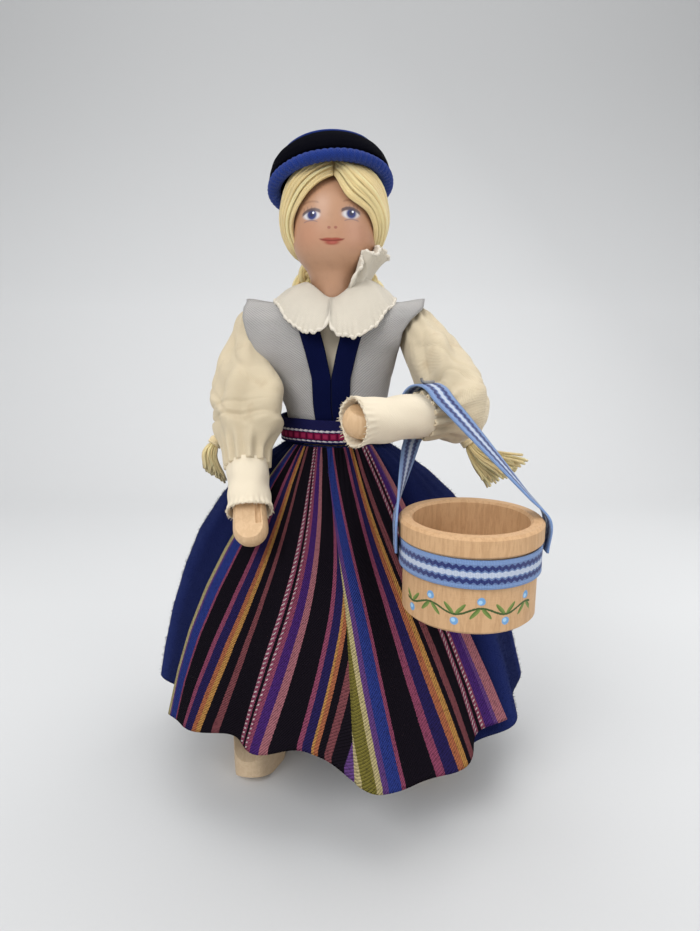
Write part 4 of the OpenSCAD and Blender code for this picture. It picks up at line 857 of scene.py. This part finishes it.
# Skirt: wool bell with soft folds, drawn in at the waist
skirtCut = {"top": waistZ - 3.6, "len": 70, "halfW": 51, "halfD": 44, "folds": 13, "fold": 1.7, "thick": 1.1,
            "dentAt": -54, "dentZ": 62.03,
            "hemAt": [-180, -165, -150, -130, -110, -90, -75, -60, -45, -25, -10, 10, 180],
            "hem": [70, 66, 65, 64, 64, 66, 70, 73.5, 73.5, 73, 72, 70, 70]}
dropAt = [0, 0.05, 0.13, 0.23, 0.36, 0.5, 0.66, 0.83, 1, 1.12]
wideAt = [0.25, 0.36, 0.51, 0.65, 0.77, 0.85, 0.915, 0.963, 1, 1.026]
deepAt = [0.27, 0.31, 0.38, 0.46, 0.57, 0.69, 0.81, 0.915, 1, 1.06]


def skirtSpot(a, drop, grow):
    t, z = drop / skirtCut["len"], skirtCut["top"] - drop
    wide, deep = skirtCut["halfW"] * np.interp(t, dropAt, wideAt), skirtCut["halfD"] * np.interp(t, dropAt, deepAt)
    r = wide * deep / np.hypot(deep * np.cos(a), wide * np.sin(a))
    u = ((np.degrees(a) - skirtCut["dentAt"] + 540) % 360 - 180) / 24
    dent = 1.8 * bell(u, 0, 1) * bell(z, skirtCut["dentZ"], 26)
    r = r + skirtCut["fold"] * t * np.cos(skirtCut["folds"] * a) - dent + grow
    return polar(r + 3.0 * t * t * np.maximum(0, np.cos(a + 0.2)) ** 2, a, z)


def woolFinish():
    f = Finish("skirtWool", Roughness=0.95, Specular_IOR_Level=0.03, Sheen_Weight=0.12, Sheen_Roughness=0.4)
    f.set("Sheen Tint", (0.25, 0.35, 0.9, 1))
    spot = f.place()
    pile, patch, fine = f.noise(spot, 2.6, 4, 0.7), f.noise(spot, 0.12, 3), f.noise(spot, 7.0, 2)
    colour = f.mix((0.002, 0.003, 0.018), (0.009, 0.014, 0.085), pile * 0.55 + patch * 0.25 + fine * 0.2)
    # painted highlight: the wool is paler where the mesh has a tint, which marks the crests of the folds
    colour = f.mix(colour, (0.02, 0.035, 0.19), f.tint() * 0.5)  # paler on the folds' crests
    return f.coat(colour, pile + fine * 0.7, 0.0005, 0.9)


wool = woolFinish()
a, t = np.meshgrid(ring(520), np.concatenate([np.linspace(0, 0.3, 26), np.linspace(0.32, 1, 44)]))
tuck = 0.32 * np.sin(46 * a + 2 * np.sin(5 * a)) * np.exp(-t * 9)
tuck = tuck + 0.132 * np.sin(31 * a + 4 * t) * bell(t, 0.3, 0.25)
hang = np.interp((np.degrees(a) + 180) % 360 - 180, skirtCut["hemAt"], skirtCut["hem"])
skirtGrid = skirtSpot(a, hang * t, tuck - 0.1)
# painted highlight on each fold's crest, growing towards the hem, carried by the tint
crestHighlight = np.clip(np.cos(skirtCut["folds"] * a), 0, 1) * t
skirtPiece = clothPiece("woolSkirt", wool, skirtGrid, skirtCut["thick"], wrap=True, tint=crestHighlight)
dress(skirtPiece, "doll", "skirt_wool", "skirt")

# Wool pile: short fibres standing on a cloth, scattered by a node group
pileCut = {"Density": 1.1e6, "Length": 0.0010, "Width": 0.00007, "Lean": 0.9, "Seed": 11}
pileNodes = {"given": "NodeGroupInput", "done": "NodeGroupOutput", "points": "GeometryNodeDistributePointsOnFaces",
             "cone": "GeometryNodeMeshCone", "lean": "FunctionNodeRandomValue", "turn": "FunctionNodeRotateRotation",
             "size": "FunctionNodeRandomValue", "place": "GeometryNodeInstanceOnPoints", "flip": "ShaderNodeMath",
             "real": "GeometryNodeRealizeInstances", "paint": "GeometryNodeSetMaterial"}
pileLinks = (("given", "Geometry", "points", "Mesh"), ("given", "Density", "points", "Density"),
             ("given", "Seed", "points", "Seed"), ("given", "Length", "cone", "Depth"),
             ("given", "Width", "cone", "Radius Bottom"), ("given", "Lean", "flip", 0), ("flip", 0, "lean", 0),
             ("given", "Lean", "lean", 1), ("given", "Seed", "lean", "Seed"), ("lean", 0, "turn", "Rotate By"),
             ("points", "Rotation", "turn", "Rotation"), ("points", "Points", "place", "Points"),
             ("cone", "Mesh", "place", "Instance"), ("turn", "Rotation", "place", "Rotation"),
             ("size", 1, "place", "Scale"), ("place", "Instances", "real", "Geometry"),
             ("real", "Geometry", "paint", "Geometry"), ("paint", "Geometry", "done", "Geometry"))


def pileGroup(finish):
    group = bpy.data.node_groups.new("woolPile", "GeometryNodeTree")
    group.interface.new_socket("Geometry", in_out="INPUT", socket_type="NodeSocketGeometry")
    for key in pileCut:
        kind = "NodeSocketInt" if key == "Seed" else "NodeSocketFloat"
        group.interface.new_socket(key, in_out="INPUT", socket_type=kind)
    group.interface.new_socket("Geometry", in_out="OUTPUT", socket_type="NodeSocketGeometry")
    nodes = {key: group.nodes.new(kind) for key, kind in pileNodes.items()}
    nodes["cone"].fill_type, nodes["lean"].data_type = "NONE", "FLOAT_VECTOR"
    nodes["turn"].rotation_space, nodes["flip"].operation = "LOCAL", "MULTIPLY"
    for key, socket, value in (("cone", "Vertices", 3), ("flip", 1, -1), ("size", 2, 0.4), ("size", 3, 1.0),
                               ("paint", "Material", finish.mat)):
        nodes[key].inputs[socket].default_value = value
    for start, out, end, into in pileLinks:
        group.links.new(nodes[start].outputs[out], nodes[end].inputs[into])
    return group


ground = Bundle()
ground.grid(skirtGrid, wrap=True, tint=0.6)
pile = ground.build("skirtPile", wool)
scatter = pile.modifiers.new("pile", "NODES")
scatter.node_group = pileGroup(wool)
for item in scatter.node_group.interface.items_tree:
    if item.in_out == "INPUT" and item.name in pileCut:
        scatter[item.identifier] = pileCut[item.name]
dress(settle(pile), "doll", "skirt_wool")

# Apron: warp-striped wool over the skirt's front
apronCut = {"hemAt": [0, 0.14, 0.29, 0.43, 0.5, 0.57, 0.64, 0.71, 0.79, 0.86, 1],
            "hem": [71, 68, 68, 68, 69.5, 72, 75.5, 77, 74, 71.5, 68.5],
            "from": -152, "to": -34, "waist": 0.82, "folds": 6, "fold": 1.6, "gap": 1.75, "thick": 0.7,
            "pleat": (0.44, 0.575), "pleatBy": 0.62, "lap": 1.2, "shown": 0.72, "hidden": 0.185}
stripeInk = {"black": (0.010, 0.008, 0.012), "pale": (0.62, 0.52, 0.26), "olive": (0.22, 0.19, 0.04),
             "purple": (0.16, 0.07, 0.26), "blue": (0.035, 0.06, 0.30), "pink": (0.36, 0.085, 0.16),
             "navy": (0.028, 0.022, 0.11), "orange": (0.52, 0.17, 0.08), "gold": (0.62, 0.31, 0.09),
             "brown": (0.27, 0.085, 0.095), "dots": (0.34, 0.08, 0.14), "violet": (0.085, 0.03, 0.20),
             "rose": (0.50, 0.19, 0.22)}
stripeRun = {"left": "pale 1.6 purple 1 blue 4.4 pink 1 black 7 pink 1.8 navy 3.4 orange 1.6 gold 1.6 black 3 "
                     "brown 2.4 black 9.5 dots 2.2 black 1.4 dots 1.4 pink 1.4 violet 3.4 rose 2.8 black 9 pink 1.8 "
                     "navy 3.4 gold 1 orange 1.6 black 2.5 brown 2.4 black 4.5 purple 3.2",
             "right": "pale 1.8 olive 4 pale 1.8 purple 2 blue 4.6 pink 1.4 black 8.6 pink 2 navy 3 orange 1.6 "
                      "gold 1.4 black 1.5 brown 2.2 black 5.2 dots 2.2 black 1.2 dots 1.4 violet 2.4 purple 1 rose 2.8"}


def stripeStops(run):
    words = run.split()
    inks, widths = words[::2], [float(w) for w in words[1::2]]
    at = np.concatenate([[0], np.cumsum(widths)[:-1]]) / sum(widths)
    return inks, at, [(float(p), toned(stripeInk[i], 0.88)) for i, p in zip(inks, at)]


def apronFinish():
    f = Finish("stripedWool", Roughness=0.95, Specular_IOR_Level=0.02)
    u, v = f.uv()  # share across, millimetres down
    across = u + (f.weave(u * 60, v * 2.4, 2) * 0.004 - 0.002)
    down = (v / 78).low(1.0)
    swing = 1 - (down / apronCut["pleatBy"]).low(1.0)
    first, last = apronCut["pleat"]
    pleat = last - (last - first) * swing * swing
    shown = apronCut["shown"] + (1 - apronCut["shown"]) * down ** 1.5
    hidden = apronCut["hidden"] * (1 - down ** 1.6)
    picks = (v * (tau / 1.15) + u * 260).sin().step(0.1, 0.7)
    places = {"left": across / pleat * shown, "right": hidden + (across - pleat) / (1 - pleat) * (1 - hidden)}
    halves = []
    for half, place in places.items():  # the pleat hides the stripes between the halves, most of them at the waist
        inks, at, stops = stripeStops(stripeRun[half])
        colour = f.add("ShaderNodeValToRGB", {"stops": stops}, {0: place})
        colour.out.node.color_ramp.interpolation = "CONSTANT"
        for ink, start, end in zip(inks, at, [*at[1:], 1.0]):
            if ink == "dots":
                mid, reach = float(start + end) / 2, float(end - start) / 2
                dots = abs(place - mid).step(reach * 0.75, reach * 0.35) * picks
                colour = f.mix(colour, (0.72, 0.62, 0.62), dots)
        halves.append(colour)
    colour = f.mix(*halves, (across - pleat).step(-0.0005, 0.0005))
    twill = ((u * 122 + v * 1.35) * tau).sin()
    slub, fleck = f.weave(u * 130, v * 1.6, 3), f.weave(u * 210, v * 3.2, 2)
    colour = f.mix(colour, (0.012, 0.008, 0.014), (twill * 0.5 + 0.5) * 0.3 + slub.step(0.46, 0.72) * 0.36)
    colour = f.mix(colour, (0.55, 0.38, 0.34), fleck.step(0.66, 0.78) * 0.06)
    return f.coat(colour, twill * 0.6 + slub, 0.00035, 0.9)


def apronSpot(u, share):
    hang = smoothRead(apronCut["hemAt"], apronCut["hem"], u)
    spread = mix(apronCut["waist"], 1, share) * (apronCut["to"] - apronCut["from"])
    a = np.radians((apronCut["from"] + apronCut["to"]) / 2 + spread * (u - 0.5))
    fold = apronCut["fold"] * share * (1 + np.cos(tau * apronCut["folds"] * u)) / 2
    fold = fold + share * (2.0 * bell(u, 0.6, 0.045) - 1.5 * bell(u, 0.515, 0.045) + bell(u, 0.86, 0.05))
    swing = (1 - np.minimum(share / apronCut["pleatBy"], 1)) ** 2
    past = u - mix(apronCut["pleat"][1], apronCut["pleat"][0], swing)
    lap = apronCut["lap"] * ease(past / 0.007) * np.exp(-np.maximum(0, past) / 0.07)
    fold = fold + lap * ease(share / 0.12) * (1 - 0.5 * share)
    tuck = 0.3 * np.sin(tau * 24 * u + 1.5 * np.sin(9 * u)) * np.exp(-share * 7)
    return skirtSpot(a, hang * share, apronCut["gap"] + fold + tuck)


u, share = np.meshgrid(np.linspace(0, 1, 420), np.concatenate([np.linspace(0, 0.25, 22), np.linspace(0.27, 1, 54)]))
apronGrid = apronSpot(u, share)
apron = Bundle()
apron.grid(apronGrid, uvGrid(u[0], runUp(stepSizes(apronGrid).mean(axis=1))))
apronPiece = apron.build("stripedApron", apronFinish(), apronCut["thick"])
dress(apronPiece, "doll", "apron_stripe", "apron")
print("skirt and apron made")

# Ribbon: woven jacquard with zigzags, around the bucket and over the wrist
ribbonCut = {"wide": 6.2, "thick": 0.5, "pitch": 1.45}


def ribbonFinish():
    f = Finish("wovenRibbon", Roughness=0.6, Specular_IOR_Level=0.3, Sheen_Weight=0.2)
    u, v = f.uv()  # millimetres along and across
    across = v / ribbonCut["wide"]
    ripple = f.weave(u * 1.5, v * 1.5, 2) * 0.06 - 0.03
    zig = abs((u / ribbonCut["pitch"]).fract() - 0.5) * 2
    blue, navy, pale = (0.17, 0.30, 0.62), (0.008, 0.022, 0.17), (0.66, 0.74, 0.90)
    colour = f.mix(blue, (0.30, 0.45, 0.76), f.weave(u * 4, v * 4, 2))
    ground = abs(across - 0.5 + ripple)
    colour = f.mix(colour, navy, ground.step(0.36, 0.34) * ground.step(0.06, 0.10) * 0.35)
    for side in (-1, 1):
        off = abs(across - 0.5 - (zig - 0.5) * 0.085 * side - side * 0.225 + ripple * 0.4)
        colour = f.mix(colour, navy, off.step(0.085, 0.06))
    chain = abs(abs(across - 0.5) - (zig - 0.5) * 0.05 - 0.03)
    colour = f.mix(colour, pale, chain.step(0.07, 0.045))
    weft, warp = (u * (tau / 0.32)).sin(), (v * (tau / 0.34)).sin()
    colour = f.mix(colour, (0.01, 0.02, 0.10), (weft * 0.5 + 0.5) * 0.22)
    return f.coat(colour, weft * 0.5 + warp * 0.3 + ripple * 4, 0.00018)


ribbon = ribbonFinish()
bucketAt = np.array([31.0, -41.5, skirtCut["dentZ"]])
bucketCut = {"r": 15.0, "high": 21.5, "bandR": 15.62, "bandLow": 10.6, "bandTop": 16.8, "edge": 16.55, "foot": 13.7}


def ribbonPiece(name, rows, closed, node):
    run = runUp(stepSizes((closeRing(rows) if closed else rows).mean(axis=0)))
    band = Bundle()
    band.grid(rows, uvGrid(run, np.linspace(0, ribbonCut["wide"], len(rows))), wrap=closed, flip=True)
    dress(band.build(name, ribbon, ribbonCut["thick"], 0), "bucket_set", "blue_ribbon", node)


a, t = np.meshgrid(ring(220), np.linspace(0, 1, 14))
r = bucketCut["bandR"] + 0.05 * np.sin(7 * a) * np.sin(3 * t)
z = mix(bucketCut["bandLow"], bucketCut["bandTop"], t) + 0.12 * np.sin(2 * a + 0.6)
ribbonPiece("bucketRibbon", bucketAt + polar(r, a, z), True, "bucket_band")
hangAt, loopR = np.array([22.7035, -23.7044, 103.538]), 7.2
loopSide, armWay = np.array([0.5403, -0.8415, 0.0]), np.array([-0.8415, -0.5403, 0.0016])
upWay, backWay = np.array([0, 0, 1.0]), np.array([0, 1.0, 0])


def handleStrand(side):  # the angle where it leaves the loop, and its spots: place, way across, way outwards
    lip, foot = (bucketAt + [side * bucketCut["edge"], 0, bucketCut[k]] for k in ("high", "foot"))
    n, z = (lip - hangAt) @ loopSide, (lip - hangAt)[2]
    leave = math.atan2(z, n) + side * math.acos(loopR / math.hypot(n, z)) + (tau if side < 0 else 0)
    out, sideWay = spin(leave, loopSide, upWay), np.array([side, 0, 0.0])
    steps = [(foot, backWay, sideWay)]
    for k in np.linspace(0, 1, 7):
        steps.append((mix(lip, hangAt + loopR * out, k), unit(mix(backWay, -armWay, k)), unit(mix(sideWay, out, k))))
    return leave, steps


(leaveFirst, first), (leaveLast, last) = handleStrand(-1), handleStrand(1)
loopWays = spin(np.linspace(leaveFirst, leaveLast, 13)[1:-1], loopSide, upWay)
spots = first + [(hangAt + loopR * way, -armWay, way) for way in loopWays] + last[::-1]
both = softPath([np.concatenate([at + 0.25 * out, 2 * over]) for at, over, out in spots], 260)
across = np.linspace(-0.5, 0.5, 12)[:, None, None] * ribbonCut["wide"]
ribbonPiece("handleRibbon", both[:, :3] + across * unit(both[:, 3:]), False, "bucket_handle")
print("ribbons made")


# Bucket: turned pale wood with a plain painted garland of leaves and berries
paintCut = {"low": 5.2, "sway": 0.8, "wave": 11.0, "cell": 5.5, "front": -1.75, "reach": 1.05}


def bucketFinish():
    f = Finish("paintedBucketWood", Specular_IOR_Level=0.3)
    x, y, z = f.axes(f.place())
    x, y, z = x - float(bucketAt[0]), y - float(bucketAt[1]), z - float(bucketAt[2])
    angle = f.add("ShaderNodeMath", {"operation": "ARCTAN2"}, {0: y, 1: x})
    out = (x * x + y * y).root()
    grain = f.noise(f.vector(x * 0.9, y * 0.9, z * 0.12), 0.8, 5, 0.6)
    rings, pores = f.weave(out * 0.3, 0.0, 3, z * 5.0), f.weave(x * 4, y * 4, 2, z * 0.8)
    veins = (grain * 24).sin() * 0.22 + 0.25 + pores.step(0.5, 0.8) * 0.3
    wood = f.mix((0.60, 0.375, 0.20), (0.43, 0.245, 0.115), veins)
    wood = f.mix(wood, (0.66, 0.44, 0.26), rings.step(0.55, 0.8) * 0.4)
    r, reach = bucketCut["r"], paintCut["reach"] * bucketCut["r"]
    u = (angle - paintCut["front"]) * r
    shown = abs(u).step(reach, reach - 0.3) * out.step(r - 0.6, r - 0.3)
    rough = f.weave(u * 2.2, z * 2.2, 2) * 0.3 - 0.15
    rise = z - ((u * (tau / paintCut["wave"])).sin() * paintCut["sway"] + paintCut["low"])  # above the vine
    near = u / paintCut["cell"]
    cell = (near.fract() - 0.5) * paintCut["cell"]
    turn = (near * 0.5).fract().step(0.499, 0.501) * 2 - 1
    colour = f.mix(wood, (0.045, 0.085, 0.02), abs(rise + rough).step(0.30, 0.18) * shown)
    for sideways, lean in ((-1.25, -0.62), (1.25, 0.62)):  # two leaves in each cell
        px, pz = cell - sideways, rise * turn - 1.0
        along, over = (px * 0.78 + pz * lean) / 1.35, px * -lean + pz * 0.78
        leaf = (along * along + (over / 0.52) * (over / 0.52) + rough).step(1.05, 0.85)
        green = f.mix((0.10, 0.17, 0.035), (0.17, 0.25, 0.06), (over * 2 + 0.5).step(0, 1))
        colour = f.mix(colour, green, leaf * shown)
    bz = rise * turn + 1.55
    berry = (cell * cell + bz * bz).root() + rough * 0.5
    colour = f.mix(colour, (0.16, 0.34, 0.60), berry.step(0.95, 0.82) * shown)
    gx, gz = cell + 0.2, bz - 0.2
    colour = f.mix(colour, (0.36, 0.58, 0.78), (gx * gx + gz * gz).root().step(0.55, 0.35) * shown)
    f.set("Roughness", pores * 0.2 + 0.42)
    return f.coat(colour, grain + rings * 0.8 + pores * 0.3, 0.0002, 0.4)


finishNodes(bucketFinish(), "bucket")
print("bucket painted")
